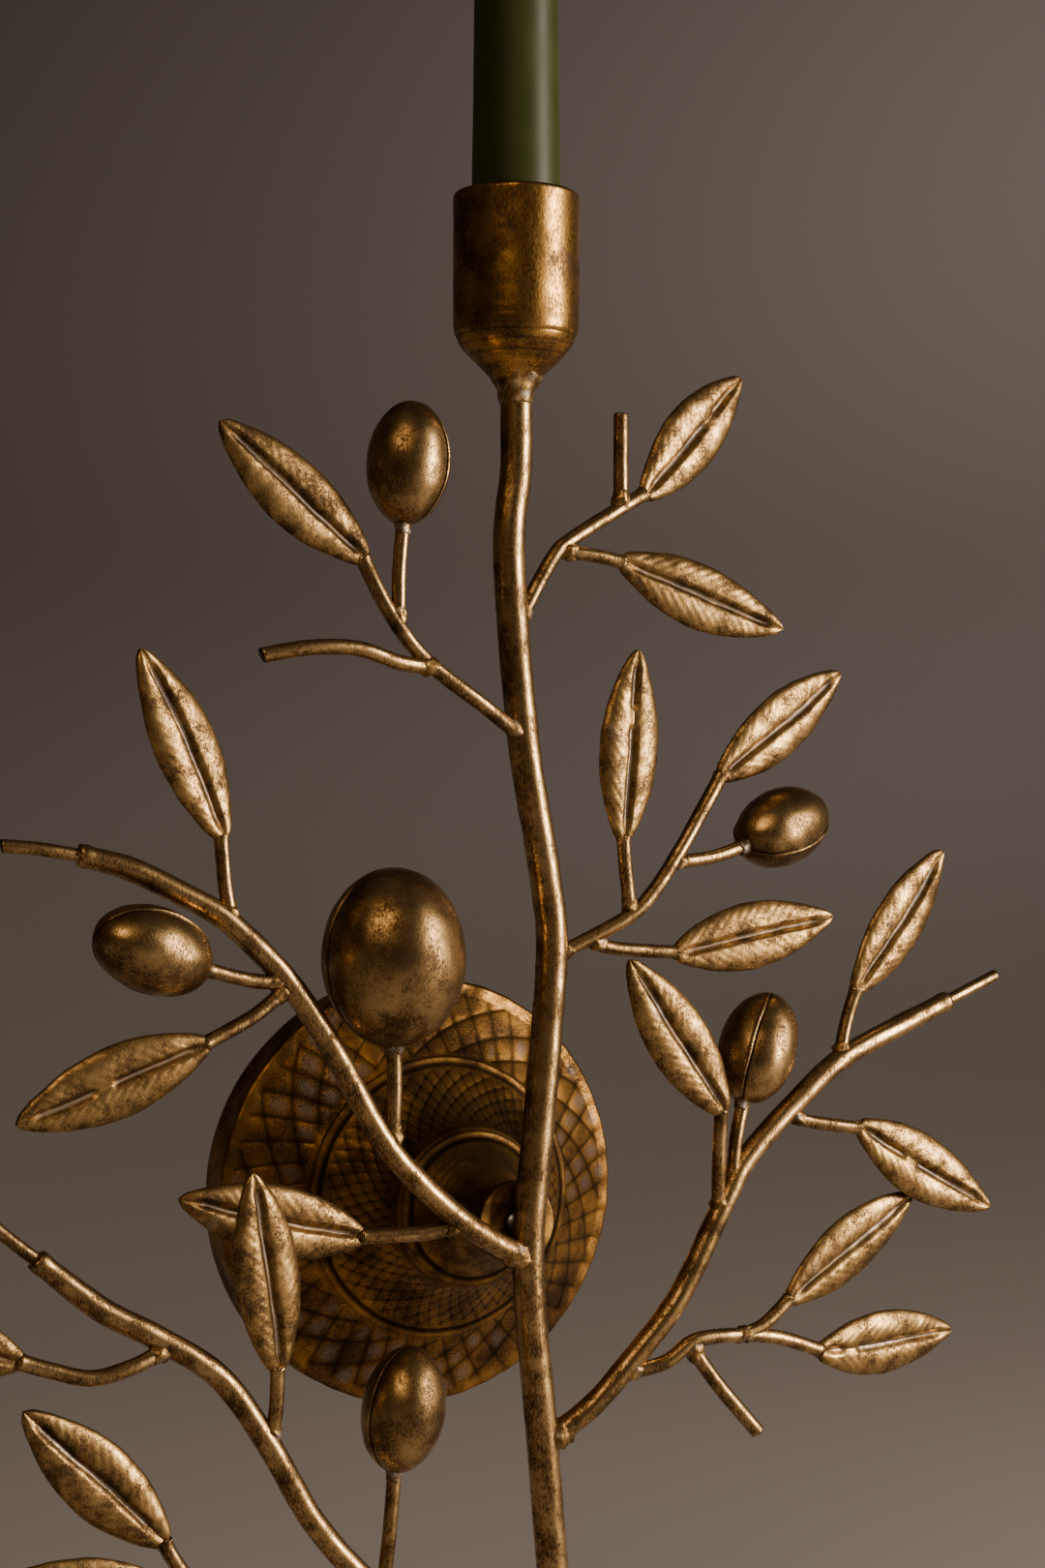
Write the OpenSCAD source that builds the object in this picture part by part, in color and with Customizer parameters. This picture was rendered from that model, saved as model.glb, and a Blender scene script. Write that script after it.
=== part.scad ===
// Wall sconce candle holder: an iron olive spray welded to a round embossed wall rose.
// Origin: centre of the rose's back edge, on the wall. +Y points into the wall,
// the front faces -Y, +X is to the viewer's right and +Z is up.

/* [Spray] */
// Nominal width of the spray, from the left branch's cut end to the right one's
spray_w = 280; // [220:5:340]
// Height of the main stem, from its cut foot to the candle cup
stem_h = 379; // [310:1:460]
// Diameter of the main stem
stem_d = 8; // [6:0.2:10]
// Diameter of the three thick side branches
branch_d = 5.8; // [4.4:0.2:7]
// Diameter of the thin twigs
twig_d = 3.8; // [3:0.1:4.6]
// Diameter of the leaf and olive stalks
stalk_d = 3.5; // [2.8:0.1:4.2]
// Diameter of the thin rods in the ends of the branches
tip_d = 3.2; // [2.6:0.1:3.8]
// Depth that a welded end sinks into the rod it meets
weld_bite = 1; // [0.6:0.1:1.4]

/* [Leaves] */
// Length of a leaf
leaf_l = 48; // [40:0.5:59]
// Width of a leaf across its middle
leaf_w = 17.2; // [14:0.2:20.6]
// Thickness of a leaf through its two raised halves
leaf_t = 4.4; // [3.4:0.1:5.4]
// Length of a leaf's foot that the stalk's end sinks into
leaf_root = 1.5; // [1:0.1:2]

/* [Olives] */
// Length of a small olive
olive_l = 30; // [24:0.5:36]
// Diameter of a small olive
olive_d = 20.2; // [16:0.2:24]
// Length of the big olive
big_olive_l = 43; // [36:0.5:50]
// Diameter of the big olive
big_olive_d = 34.6; // [28:0.2:40]
// Wall of the pressed olive halves
olive_wall = 1.2; // [0.8:0.1:1.6]
// Open seam between the two halves of an olive
seam_gap = 0.2; // [0.1:0.05:0.4]

/* [Candle cup] */
// Outer diameter of the candle cup
cup_d = 31.2; // [28:0.2:40]
// Height of the candle cup
cup_h = 48.5; // [40:0.5:58]
// Depth of the candle's seat in the cup
seat_depth = 30; // [24:1:34]

/* [Candle] */
// Diameter of the candle at its foot
candle_d = 22; // [18:0.5:23]
// Diameter of the candle just below its shoulder
candle_top_d = 17; // [13:0.5:20]
// Length of the candle without its wick
candle_l = 250; // [150:5:300]
// Radial gap between the candle and the cup's seat
candle_gap = 0.3; // [0.2:0.05:0.5]
// Diameter of the wick
wick_d = 2; // [1.4:0.1:2.6]

/* [Wall rose] */
// Diameter of the wall dish
dish_d = 114; // [100:0.5:137]
// Height of the dish's side wall
dish_rim_h = 12; // [10:0.5:15]
// Distance from the wall to the dish's inner land
dish_land_h = 22.4; // [20:0.2:27]
// Diameter of the middle bell's foot
bell_d = 73.6; // [60:0.4:88]
// Diameter of the neck bell's foot
neck_d = 39.2; // [33:0.4:46]
// Distance from the wall to the neck bell's foot
neck_foot_h = 43; // [38:0.5:52]
// Diameter of the neck bell's outer end
neck_top_d = 17.6; // [15:0.2:21]
// Diameter of the end disc
disc_d = 20.6; // [19:0.2:25]
// Thickness of the end disc
disc_t = 3; // [2:0.5:4]
// Distance from the wall to the front of the end disc
reach = 70; // [62:1:84]
// Thickness of the rose's sheet metal
sheet_t = 1.2; // [0.8:0.1:1.5]

/* [Hanger and centre rod] */
// Width of the hanger strap
strap_w = 20; // [16:1:24]
// Thickness of the hanger strap
strap_t = 2; // [1.5:0.1:2.5]
// Distance from the wall to the back of the hanger strap
strap_back = 5; // [4.8:0.1:6]
// Diameter of a keyhole's round part
keyhole_d = 9; // [8:0.2:10]
// Width of a keyhole's slot
keyslot_w = 4.4; // [4:0.1:5]
// Distance between the two keyholes
keyhole_pitch = 70; // [56:1:76]
// Diameter of the threaded centre rod
rod_d = 6; // [5:0.5:6]
// Thickness of the two thin nuts
nut_t = 3.2; // [2.6:0.1:3.4]
// Width of a nut across its flats
nut_af = 10; // [9:0.5:11]

/* [Hidden] */
washer_t = 1;
washer_d = rod_d + 6;
rod_clear = 0.2;       // radial gap where the rod passes a sheet or strap
thread_clear = 0.05;   // radial gap between the rod and a nut
disc_hole_d = rod_d + 1;
dish_edge_r = 1.5;     // rounding of the dish's front edge
disc_bite = 0.4;       // depth that the end disc's weld sinks into the stem
strap_bite = 0.3;      // depth that the strap's ends sink into the dish's wall
keyslot_rise = 8;      // height of the slot's end above the keyhole's centre
seat_gap = 0.1;        // play under the candle's foot
mouth_chamfer = 1;
cup_foot_d = stem_d + 0.8;
cup_bite = 1;          // depth that the stem's end sinks into the cup's foot
wick_out = 9;
wick_in = 12;
nose_h = 9;            // height of the candle's rounded shoulder
stem_y = -(reach + stem_d / 2 - disc_bite);
rear_nut_h = strap_back - washer_t - nut_t;
seat_d = candle_d + 2 * candle_gap;

// The routes were laid out on a spray 280 wide with a stem 379 high.
stretch_x = spray_w / 280;
stretch_z = stem_h / 379;

iron_gold = "#8d6f42";
dark_gold = "#7a5c34";
rose_gold = "#a87c3e";
steel = "#8a8a88";
wax_green = "#59602f";
wick_white = "#d9d2bd";

$fn = 72;

// ---- Bends ----
// A rod is bent cold from straight bar, and is set out here as it is bent: from its weld it
// runs leg by leg, each leg [length, heading, lean]. Heading turns from +X towards +Z, and a
// positive lean brings the leg forward. Points are [x, y, z], y from the main stem's plane.
function leg_run(leg) =
    leg[0] * [cos(leg[2]) * cos(leg[1]), -sin(leg[2]), cos(leg[2]) * sin(leg[1])];
function bent(start, legs, i = 0) =
    i == len(legs) ? [start]
        : concat([start], bent(start + leg_run(legs[i]), legs, i + 1));

// The place on a rod, a given run along it from its first point. A welded rod starts there.
function place_on(route, run, i = 0) =
    let (leg = route[i + 1] - route[i])
    run <= norm(leg) || i == len(route) - 2 ? route[i] + leg * run / norm(leg)
        : place_on(route, run - norm(leg), i + 1);
function turned_round(route) = [for (i = [len(route) - 1:-1:0]) route[i]];

// The stem is set out from the candle cup down, and its route then runs from foot to cup.
MAIN_STEM = turned_round(bent([-2, 0, 207], [[20, -90, 0], [22, -95, 0], [45, -85, 0],
    [35, -80, 0], [20, -85, 0], [40, -95, 0], [35, -95, 0], [40, -85, 0], [35, -85, 0], [45, -85, 0],
    [25, -95, 0], [20, -110, 0]]));

UPPER_LEFT_TWIG = bent(place_on(MAIN_STEM, 295),
    [[15, 150, 20], [20, 145, 0], [15, 130, 0], [15, 115, -10]]);
UPPER_LEFT_STUB = bent(place_on(UPPER_LEFT_TWIG, 32),
    [[10, 175, 10], [12, 165, 5], [12, 180, 0], [12, 190, -5]]);
UPPER_LEFT_STALK = bent(place_on(UPPER_LEFT_TWIG, 46), [[12, 90, 0], [13, 85, 0]]);

UPPER_RIGHT_TWIG = bent(place_on(MAIN_STEM, 322), [[20, 60, 0], [10, 40, -10], [25, 30, -5]]);
UPPER_RIGHT_STUB = bent(place_on(UPPER_RIGHT_TWIG, 46), [[12, 90, 0], [12, 90, 0]]);
UPPER_RIGHT_STALK = bent(place_on(UPPER_RIGHT_TWIG, 24), [[9, -5, 5], [9, -10, 0]]);

RIGHT_TWIG = bent(place_on(MAIN_STEM, 240),
    [[20, 25, 5], [10, 35, 0], [15, 50, -5], [25, 55, -5]]);
RIGHT_STALK_UP = bent(place_on(RIGHT_TWIG, 24), [[10, 100, 5], [10, 95, 0]]);
RIGHT_STALK_OLIVE = bent(place_on(RIGHT_TWIG, 42), [[12, 5, -5], [12, 15, -5]]);
RIGHT_STALK_SIDE = bent(place_on(RIGHT_TWIG, 12), [[6, -30, -5], [20, -5, 0]]);

LEFT_BRANCH = bent(place_on(MAIN_STEM, 165), [[20, 150, 10], [20, 140, 5], [15, 130, 0],
    [25, 120, 0], [20, 125, 0], [20, 135, -5], [15, 150, -5], [12, 155, -5], [12, 165, -5]]);
LEFT_TIP = bent(place_on(LEFT_BRANCH, 157), [[10, 170, 0], [9, 175, -5]]);
LEFT_STALK_UP = bent(place_on(LEFT_BRANCH, 118), [[10, 100, 0], [12, 95, 0]]);
LEFT_STALK_OLIVE = bent(place_on(LEFT_BRANCH, 99), [[10, 175, 5], [12, 165, 5]]);
LEFT_STALK_LOW = bent(place_on(LEFT_BRANCH, 98), [[12, 215, 5], [14, 205, 5]]);
LEFT_STALK_BIG = bent(place_on(LEFT_BRANCH, 50), [[13, 90, 5], [13, 90, 0]]);
LEFT_SIDE_TWIG = bent(place_on(LEFT_BRANCH, 22), [[11, 190, -10], [16, 180, -10]]);

RIGHT_BRANCH = bent(place_on(MAIN_STEM, 119), [[15, 35, 10], [15, 45, 5], [20, 50, 5],
    [25, 60, 0], [15, 55, -5], [20, 40, -5], [18, 35, -5], [22, 20, -10], [20, 20, -5]]);
RIGHT_TIP = bent(place_on(RIGHT_BRANCH, 168), [[10, 20, -5], [9, 20, -5]]);
RIGHT_STALK_HIGH = bent(place_on(RIGHT_BRANCH, 128), [[10, 75, -5], [10, 70, 0]]);
RIGHT_STALK_OUT = bent(place_on(RIGHT_BRANCH, 108), [[5, -40, 10], [17, -10, 5]]);
RIGHT_STALK_IN = bent(place_on(RIGHT_BRANCH, 73), [[13, 95, 10], [15, 90, 5]]);
RIGHT_STALK_BUD = bent(place_on(RIGHT_BRANCH, 81), [[11, 85, 0], [12, 75, -5]]);
RIGHT_SIDE_TWIG = bent(place_on(RIGHT_BRANCH, 26),
    [[12, 10, 10], [10, 30, 5], [14, 0, 0], [12, -10, -5], [14, -20, -5]]);
RIGHT_SIDE_STALK = bent(place_on(RIGHT_SIDE_TWIG, 34), [[8, 15, 0], [11, 35, -5]]);
RIGHT_SIDE_STUB = bent(place_on(RIGHT_SIDE_TWIG, 20), [[12, -55, 5], [18, -50, 5]]);

LOWER_BRANCH = bent(place_on(MAIN_STEM, 55), [[25, 150, 5], [22, 145, 5], [22, 140, 5],
    [20, 130, 0], [22, 120, 0], [20, 125, -5], [18, 145, -5], [15, 150, -5], [20, 140, -5]]);
LOWER_TIP = bent(place_on(LOWER_BRANCH, 182), [[12, 140, -5], [14, 135, -10]]);
LOWER_STALK_UP = bent(place_on(LOWER_BRANCH, 110), [[10, 85, 10], [10, 90, 5]]);
LOWER_STALK_OLIVE = bent(place_on(LOWER_BRANCH, 62), [[15, 85, 5], [15, 85, 0]]);
LOWER_TWIG = bent(place_on(LOWER_BRANCH, 145),
    [[10, 200, 10], [10, 190, 0], [10, 165, -5], [8, 160, -5]]);

FOOT_TWIG = bent(place_on(MAIN_STEM, 30),
    [[30, 150, 0], [30, 150, 0], [27, 145, 0], [20, 140, -5], [13, 130, -5], [10, 120, 0]]);
FOOT_STALK = bent(place_on(FOOT_TWIG, 105), [[7, 150, 10], [7, 155, 5]]);

// Rods: [node, rod it is welded to (its diameter), own diameter, sides, rings per span, route]
RODS = [
    ["main_stem", 0, stem_d, 12, 4, MAIN_STEM],
    ["upper_left_twig", stem_d, twig_d, 10, 3, UPPER_LEFT_TWIG],
    ["upper_left_stub", twig_d, twig_d, 8, 2, UPPER_LEFT_STUB],
    ["upper_left_stalk", twig_d, stalk_d, 8, 2, UPPER_LEFT_STALK],
    ["upper_right_twig", stem_d, twig_d, 10, 3, UPPER_RIGHT_TWIG],
    ["upper_right_stub", twig_d, twig_d, 8, 1, UPPER_RIGHT_STUB],
    ["upper_right_stalk", twig_d, stalk_d, 8, 2, UPPER_RIGHT_STALK],
    ["right_twig", stem_d, twig_d, 10, 3, RIGHT_TWIG],
    ["right_twig_stalks", twig_d, stalk_d, 8, 2, RIGHT_STALK_UP],
    ["right_twig_stalks", twig_d, stalk_d, 8, 2, RIGHT_STALK_OLIVE],
    ["right_twig_stalks", twig_d, stalk_d, 8, 3, RIGHT_STALK_SIDE],
    ["left_branch", stem_d, branch_d, 12, 2, LEFT_BRANCH],
    ["left_branch_tip", 0, tip_d, 8, 1, LEFT_TIP],
    ["left_branch_stalks", branch_d, stalk_d, 8, 2, LEFT_STALK_UP],
    ["left_branch_stalks", branch_d, stalk_d, 8, 2, LEFT_STALK_OLIVE],
    ["left_branch_stalks", branch_d, stalk_d, 8, 2, LEFT_STALK_LOW],
    ["left_branch_stalks", branch_d, twig_d, 8, 1, LEFT_STALK_BIG],
    ["left_side_twig", branch_d, twig_d, 8, 3, LEFT_SIDE_TWIG],
    ["right_branch", stem_d, branch_d, 12, 2, RIGHT_BRANCH],
    ["right_branch_tip", 0, tip_d, 8, 1, RIGHT_TIP],
    ["right_branch_stalks", branch_d, stalk_d, 8, 2, RIGHT_STALK_HIGH],
    ["right_branch_stalks", branch_d, stalk_d, 8, 3, RIGHT_STALK_OUT],
    ["right_branch_stalks", branch_d, stalk_d, 8, 2, RIGHT_STALK_IN],
    ["right_branch_stalks", branch_d, stalk_d, 8, 2, RIGHT_STALK_BUD],
    ["right_side_twig", branch_d, twig_d, 10, 3, RIGHT_SIDE_TWIG],
    ["right_side_stalk", twig_d, stalk_d, 8, 2, RIGHT_SIDE_STALK],
    ["right_side_stub", twig_d, twig_d, 8, 2, RIGHT_SIDE_STUB],
    ["lower_branch", stem_d, branch_d, 12, 2, LOWER_BRANCH],
    ["lower_branch_tip", 0, tip_d, 8, 1, LOWER_TIP],
    ["lower_branch_stalks", branch_d, stalk_d, 8, 2, LOWER_STALK_UP],
    ["lower_branch_stalks", branch_d, stalk_d, 8, 2, LOWER_STALK_OLIVE],
    ["lower_twig", branch_d, twig_d, 10, 3, LOWER_TWIG],
    ["foot_twig", stem_d, twig_d, 10, 3, FOOT_TWIG],
    ["foot_stalk", twig_d, stalk_d, 8, 1, FOOT_STALK]
];

// Leaves: [node, route whose end carries it, heading, lean, roll], in degrees. Heading turns
// from +X towards +Z, lean tips the leaf's point forward, roll turns it about its own length.
LEAVES = [
    ["upper_left_leaf", UPPER_LEFT_TWIG, 140, 0, 5],
    ["upper_right_leaf", UPPER_RIGHT_TWIG, 45, -10, 5],
    ["upper_side_leaf", UPPER_RIGHT_STALK, -20, 5, -5],
    ["right_end_leaf", RIGHT_TWIG, 35, -5, 10],
    ["right_upright_leaf", RIGHT_STALK_UP, 85, 0, 5],
    ["right_side_leaf", RIGHT_STALK_SIDE, 10, 0, -5],
    ["left_upright_leaf", LEFT_STALK_UP, 115, 0, 15],
    ["left_low_leaf", LEFT_STALK_LOW, 200, 0, -5],
    ["left_inner_leaf", LEFT_SIDE_TWIG, 165, 0, 5],
    ["branch_high_leaf", RIGHT_STALK_HIGH, 50, -5, 10],
    ["branch_out_leaf", RIGHT_STALK_OUT, -30, 0, -5],
    ["branch_in_leaf", RIGHT_STALK_IN, 125, 0, 0],
    ["branch_side_leaf", RIGHT_SIDE_STALK, 30, -5, 10],
    ["branch_low_leaf", RIGHT_SIDE_TWIG, 0, -10, 5],
    ["lower_upright_leaf", LOWER_STALK_UP, 100, 5, 10],
    ["lower_end_leaf", LOWER_TWIG, 160, 0, -5],
    ["foot_end_leaf", FOOT_TWIG, 135, 0, 0],
    ["foot_side_leaf", FOOT_STALK, 170, 0, -10]
];

// Olives: [node, route whose end carries it, heading, lean, seam turn, length, diameter]
OLIVES = [
    ["upper_olive", UPPER_LEFT_STALK, 85, 0, -45, olive_l, olive_d],
    ["right_olive", RIGHT_STALK_OLIVE, 20, -15, -60, olive_l, olive_d],
    ["left_olive", LEFT_STALK_OLIVE, 160, 10, 150, olive_l, olive_d],
    ["big_olive", LEFT_STALK_BIG, 90, 0, 0, big_olive_l, big_olive_d],
    ["branch_olive", RIGHT_STALK_BUD, 65, -10, 30, olive_l, olive_d],
    ["lower_olive", LOWER_STALK_OLIVE, 80, 0, 15, olive_l, olive_d]
];

ROD_NAMES = [for (i = [0:len(RODS) - 1]) if (i == 0 || RODS[i][0] != RODS[i - 1][0]) RODS[i][0]];

// ---- Curves and frames ----
function unit(v) = v / norm(v);
function last(v) = v[len(v) - 1];
function place(p) = [p[0] * stretch_x, stem_y + p[1], p[2] * stretch_z];
function clamp_index(i, p) = max(0, min(len(p) - 1, i));

// One point of a smooth curve through a, b, c and d, between b and c
function curve_point(a, b, c, d, t) =
    ((2 * b) + (c - a) * t + (2 * a - 5 * b + 4 * c - d) * t * t
    + (3 * b - a - 3 * c + d) * t * t * t) / 2;

function curve(p, steps) = concat(
    [for (i = [0:len(p) - 2]) for (k = [0:steps - 1])
        curve_point(p[clamp_index(i - 1, p)], p[i], p[i + 1], p[clamp_index(i + 2, p)], k / steps)],
    [last(p)]
);

// A welded rod stops just inside the skin of the rod it meets.
function trimmed(p, root_d) = root_d == 0 ? p : concat(
    [p[0] + unit(p[1] - p[0]) * (root_d / 2 - weld_bite)],
    [for (i = [1:len(p) - 1]) p[i]]
);

function tangent(p, i) = unit(p[clamp_index(i + 1, p)] - p[clamp_index(i - 1, p)]);
function circle_about(c, along, r, sides) =
    let (side = unit(cross(along, [0, 1, 0])), up = cross(side, along))
    [for (k = [0:sides - 1]) c + r * (side * cos(k * 360 / sides) + up * sin(k * 360 / sides))];

// Closed skin over a row of rings that all have the same number of points
module skin(rings) {
    n = len(rings[0]);
    m = len(rings);
    start = [for (k = [1:n - 2]) [0, k + 1, k]];
    end = [for (k = [1:n - 2]) [(m - 1) * n, (m - 1) * n + k, (m - 1) * n + k + 1]];
    sides = [for (j = [0:m - 2]) for (k = [0:n - 1]) let (q = (k + 1) % n)
        each [[j * n + k, j * n + q, (j + 1) * n + q], [j * n + k, (j + 1) * n + q, (j + 1) * n + k]]];
    polyhedron([for (ring = rings) each ring], concat(start, end, sides), convexity = 6);
}

module rod(row) {
    route = curve([for (p = trimmed(row[5], row[1])) place(p)], row[4]);
    skin([for (i = [0:len(route) - 1]) circle_about(route[i], tangent(route, i), row[2] / 2, row[3])]);
}

module rods(name) {
    color(name == "main_stem" ? iron_gold : dark_gold)
        for (row = RODS) if (row[0] == name) rod(row);
}

// ---- Leaves ----
// Half of the leaf's section, from its edge to the midrib: share of the half width and
// share of the thickness. The front has a raised half and a deep groove.
LEAF_FRONT = [[1, 0.05], [0.82, 0.4], [0.5, 0.55], [0.16, 0.34]];
LEAF_GROOVE = [0, 0.08];
LEAF_BACK = [[0.82, -0.28], [0.45, -0.42]];
leaf_stations = 11;
leaf_foot = 0.22;      // width of the leaf's foot as a share of its full width
leaf_point = 0.13;     // width of its point

function mirrored(p) = [for (i = [len(p) - 1:-1:0]) [-p[i][0], p[i][1]]];
LEAF_SECTION = concat(LEAF_FRONT, [LEAF_GROOVE], mirrored(LEAF_FRONT),
    [for (i = [0:len(LEAF_BACK) - 1]) [-LEAF_BACK[i][0], LEAF_BACK[i][1]]],
    [for (i = [len(LEAF_BACK) - 1:-1:0]) LEAF_BACK[i]]);

// Half width of the outline at share t of the length, widest just before the middle
function leaf_outline(t) = (leaf_foot * (1 - t) + leaf_point * t)
    + (1 - leaf_foot * (1 - t) - leaf_point * t) * pow(sin(180 * pow(t, 0.94)), 0.85);

function heading_axis(heading, lean) =
    [cos(lean) * cos(heading), -sin(lean), cos(lean) * sin(heading)];

module leaf(row) {
    foot = place(last(row[1]));
    along = heading_axis(row[2], row[3]);
    across = unit(cross([0, -1, 0], along));
    front = cross(along, across);
    side = across * cos(row[4]) + front * sin(row[4]);
    rise = front * cos(row[4]) - across * sin(row[4]);
    color(dark_gold) skin([for (i = [0:leaf_stations - 1])
        let (t = i / (leaf_stations - 1), w = leaf_outline(t), c = foot + along * (t * leaf_l - leaf_root))
        [for (s = LEAF_SECTION) c + side * (s[0] * w * leaf_w / 2)
            + rise * (s[1] * leaf_t * (0.35 + 0.65 * w))]]);
}

// ---- Olives ----
olive_steps = 16;
function half_ellipse(r, h) =
    [for (i = [0:olive_steps]) let (a = i * 180 / olive_steps) [r * sin(a), -h * cos(a)]];
function reversed(p) = [for (i = [len(p) - 1:-1:0]) p[i]];

module olive_half(length, d) {
    outer = half_ellipse(d / 2, length / 2);
    inner = half_ellipse(d / 2 - olive_wall, length / 2 - olive_wall);
    translate([0, seam_gap / 2, 0])
        rotate_extrude(angle = 180) polygon(concat(outer, reversed(inner)));
}

// Two pressed halves, laid lengthwise on Z and turned to lie along the stalk's heading
module olive(row) {
    length = row[5];
    along = heading_axis(row[2], row[3]);
    root = 1.2;        // depth of the stalk's end in the olive's foot
    color(iron_gold) translate(place(last(row[1])) + along * (length / 2 - root))
        rotate([0, acos(along[2]), atan2(along[1], along[0])]) rotate([0, 0, row[4]])
        for (turn = [0, 180]) rotate([0, 0, turn]) olive_half(length, row[6]);
}

// ---- Wall rose ----
// Profiles are [radius, distance from the wall]; on_wall turns them about the rose's axis.
module on_wall() { rotate([90, 0, 0]) children(); }
module turned(profile) { on_wall() rotate_extrude($fn = 120) polygon(profile); }

// A trumpet-shaped flare from [r0, h0] in to [r1, h1]; bow sets how hollow it is
flare_steps = 10;
function flare(r0, h0, r1, h1, bow) = [for (i = [0:flare_steps]) let (t = i / flare_steps)
    [r1 + (r0 - r1) * pow(1 - t, bow), h0 + (h1 - h0) * t]];

function arc(c, r, a0, a1, steps) =
    [for (i = [0:steps]) let (a = a0 + (a1 - a0) * i / steps) c + r * [cos(a), sin(a)]];

hole_r = rod_d / 2 + rod_clear;
bell_r = bell_d / 2;
neck_r = neck_d / 2;
neck_top_r = neck_top_d / 2;
neck_top_h = reach - disc_t;
bell_land_r = neck_r + 1;
dish_bow = 1.1;
bell_bow = 1.9;
neck_bow = 2.4;
foot_rise = 2;         // height of the upright lip at a bell's foot

// Bell of even sheet: an upright foot lip, a hollow flare and a flat land round the rod's hole
function bell_profile(r0, h0, r1, h1, bow) = concat(
    [[r0, h0]], flare(r0, h0 + foot_rise, r1, h1, bow),
    [[hole_r, h1], [hole_r, h1 - sheet_t]],
    reversed(flare(r0 - 1.8 * sheet_t, h0 + foot_rise - 0.6 * sheet_t, r1 - sheet_t, h1 - sheet_t, bow)),
    [[r0 - 1.8 * sheet_t, h0]]
);

module wall_dish() {
    r = dish_d / 2;
    outer = concat([[r, 0]],
        arc([r - dish_edge_r, dish_rim_h - dish_edge_r], dish_edge_r, 0, 70, 5),
        flare(r - 2 * dish_edge_r, dish_rim_h, bell_r, dish_land_h, dish_bow));
    inner = concat([[r - sheet_t, 0]], [[r - sheet_t, dish_rim_h - 1.6 * sheet_t]],
        flare(r - 3 * dish_edge_r, dish_rim_h - 0.8 * sheet_t, bell_r, dish_land_h - sheet_t, dish_bow));
    color(rose_gold) turned(concat(outer,
        [[hole_r, dish_land_h], [hole_r, dish_land_h - sheet_t]], reversed(inner)));
}

module middle_bell() {
    color(rose_gold) turned(bell_profile(bell_r, dish_land_h, bell_land_r, neck_foot_h, bell_bow));
}

module neck_bell() {
    color(rose_gold) turned(bell_profile(neck_r, neck_foot_h, neck_top_r, neck_top_h, neck_bow));
}

module end_disc() {
    color(rose_gold) on_wall() translate([0, 0, neck_top_h]) difference() {
        cylinder(d = disc_d, h = disc_t);
        translate([0, 0, -1]) cylinder(d = disc_hole_d, h = disc_t + 2);
    }
}

// Flat strap across the dish's back, with two keyholes that hang on screw heads
module hanger_strap() {
    color(steel) on_wall() translate([0, 0, strap_back]) difference() {
        intersection() {
            translate([-strap_w / 2, -dish_d / 2, 0]) cube([strap_w, dish_d, strap_t]);
            translate([0, 0, -1]) cylinder(d = dish_d - 2 * sheet_t + 2 * strap_bite, h = strap_t + 2);
        }
        translate([0, 0, -1]) cylinder(r = hole_r, h = strap_t + 2);
        for (z = [-keyhole_pitch / 2, keyhole_pitch / 2]) translate([0, z, -1]) {
            cylinder(d = keyhole_d, h = strap_t + 2);
            translate([-keyslot_w / 2, 0, 0]) cube([keyslot_w, keyslot_rise, strap_t + 2]);
            translate([0, keyslot_rise, 0]) cylinder(d = keyslot_w, h = strap_t + 2);
        }
    }
}

module centre_rod() {
    rod_end_set = 0.6;     // the rod's end stays just inside the end disc's face
    color(steel) on_wall() translate([0, 0, rear_nut_h])
        cylinder(d = rod_d, h = reach - rod_end_set - rear_nut_h);
}

module hex_nut() {
    difference() {
        cylinder(d = nut_af / cos(30), h = nut_t, $fn = 6);
        translate([0, 0, -1]) cylinder(r = rod_d / 2 + thread_clear, h = nut_t + 2);
    }
}

// One nut draws the strap forward, and the other locks the neck bell's end on the rod
module rod_nuts() {
    color(steel) on_wall() for (h = [rear_nut_h, neck_top_h - sheet_t - nut_t])
        translate([0, 0, h]) hex_nut();
}

module rear_washer() {
    color(steel) on_wall() translate([0, 0, strap_back - washer_t]) difference() {
        cylinder(d = washer_d, h = washer_t);
        translate([0, 0, -1]) cylinder(r = hole_r, h = washer_t + 2);
    }
}

// ---- Cup and candle ----
// Both stand on the main stem's end.
stem_end = place(last(MAIN_STEM));
module on_stem_end(h) { translate(stem_end + [0, 0, h - cup_bite]) children(); }

// The cup's foot swells from the stem to the straight wall: share of the step in radius, height
CUP_FOOT = [[0, 0], [0.09, 2.2], [0.32, 5], [0.61, 8], [0.85, 11], [0.97, 14], [1, 16.5]];

module candle_cup() {
    r = cup_d / 2;
    foot_r = cup_foot_d / 2;
    lip_r = 1.2;
    outer = concat([[0, 0]], [for (p = CUP_FOOT) [foot_r + (r - foot_r) * p[0], p[1]]],
        arc([r - lip_r, cup_h - lip_r], lip_r, 0, 90, 5));
    bore = [[seat_d / 2 + mouth_chamfer, cup_h], [seat_d / 2, cup_h - mouth_chamfer],
        [seat_d / 2, cup_h - seat_depth], [0, cup_h - seat_depth]];
    color(iron_gold) on_stem_end(0) rotate_extrude() polygon(concat(outer, bore));
}

module candle_wax() {
    shoulder = candle_l - nose_h;
    nose = [for (i = [0:7]) let (a = i * 90 / 7)
        [wick_d / 2 + (candle_top_d / 2 - wick_d / 2) * cos(a), shoulder + nose_h * sin(a)]];
    color(wax_green) on_stem_end(cup_h - seat_depth + seat_gap) rotate_extrude()
        polygon(concat([[0, 0], [candle_d / 2, 0], [candle_d / 2, seat_depth]], nose,
            [[wick_d / 2, candle_l - wick_in], [0, candle_l - wick_in]]));
}

module candle_wick() {
    color(wick_white) on_stem_end(cup_h - seat_depth + seat_gap + candle_l - wick_in)
        cylinder(d = wick_d, h = wick_in + wick_out, $fn = 24);
}

wall_dish();
middle_bell();
neck_bell();
end_disc();
hanger_strap();
centre_rod();
rod_nuts();
rear_washer();
candle_cup();
for (name = ROD_NAMES) rods(name);
for (row = LEAVES) leaf(row);
for (row = OLIVES) olive(row);
candle_wax();
candle_wick();
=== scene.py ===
import math

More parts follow.
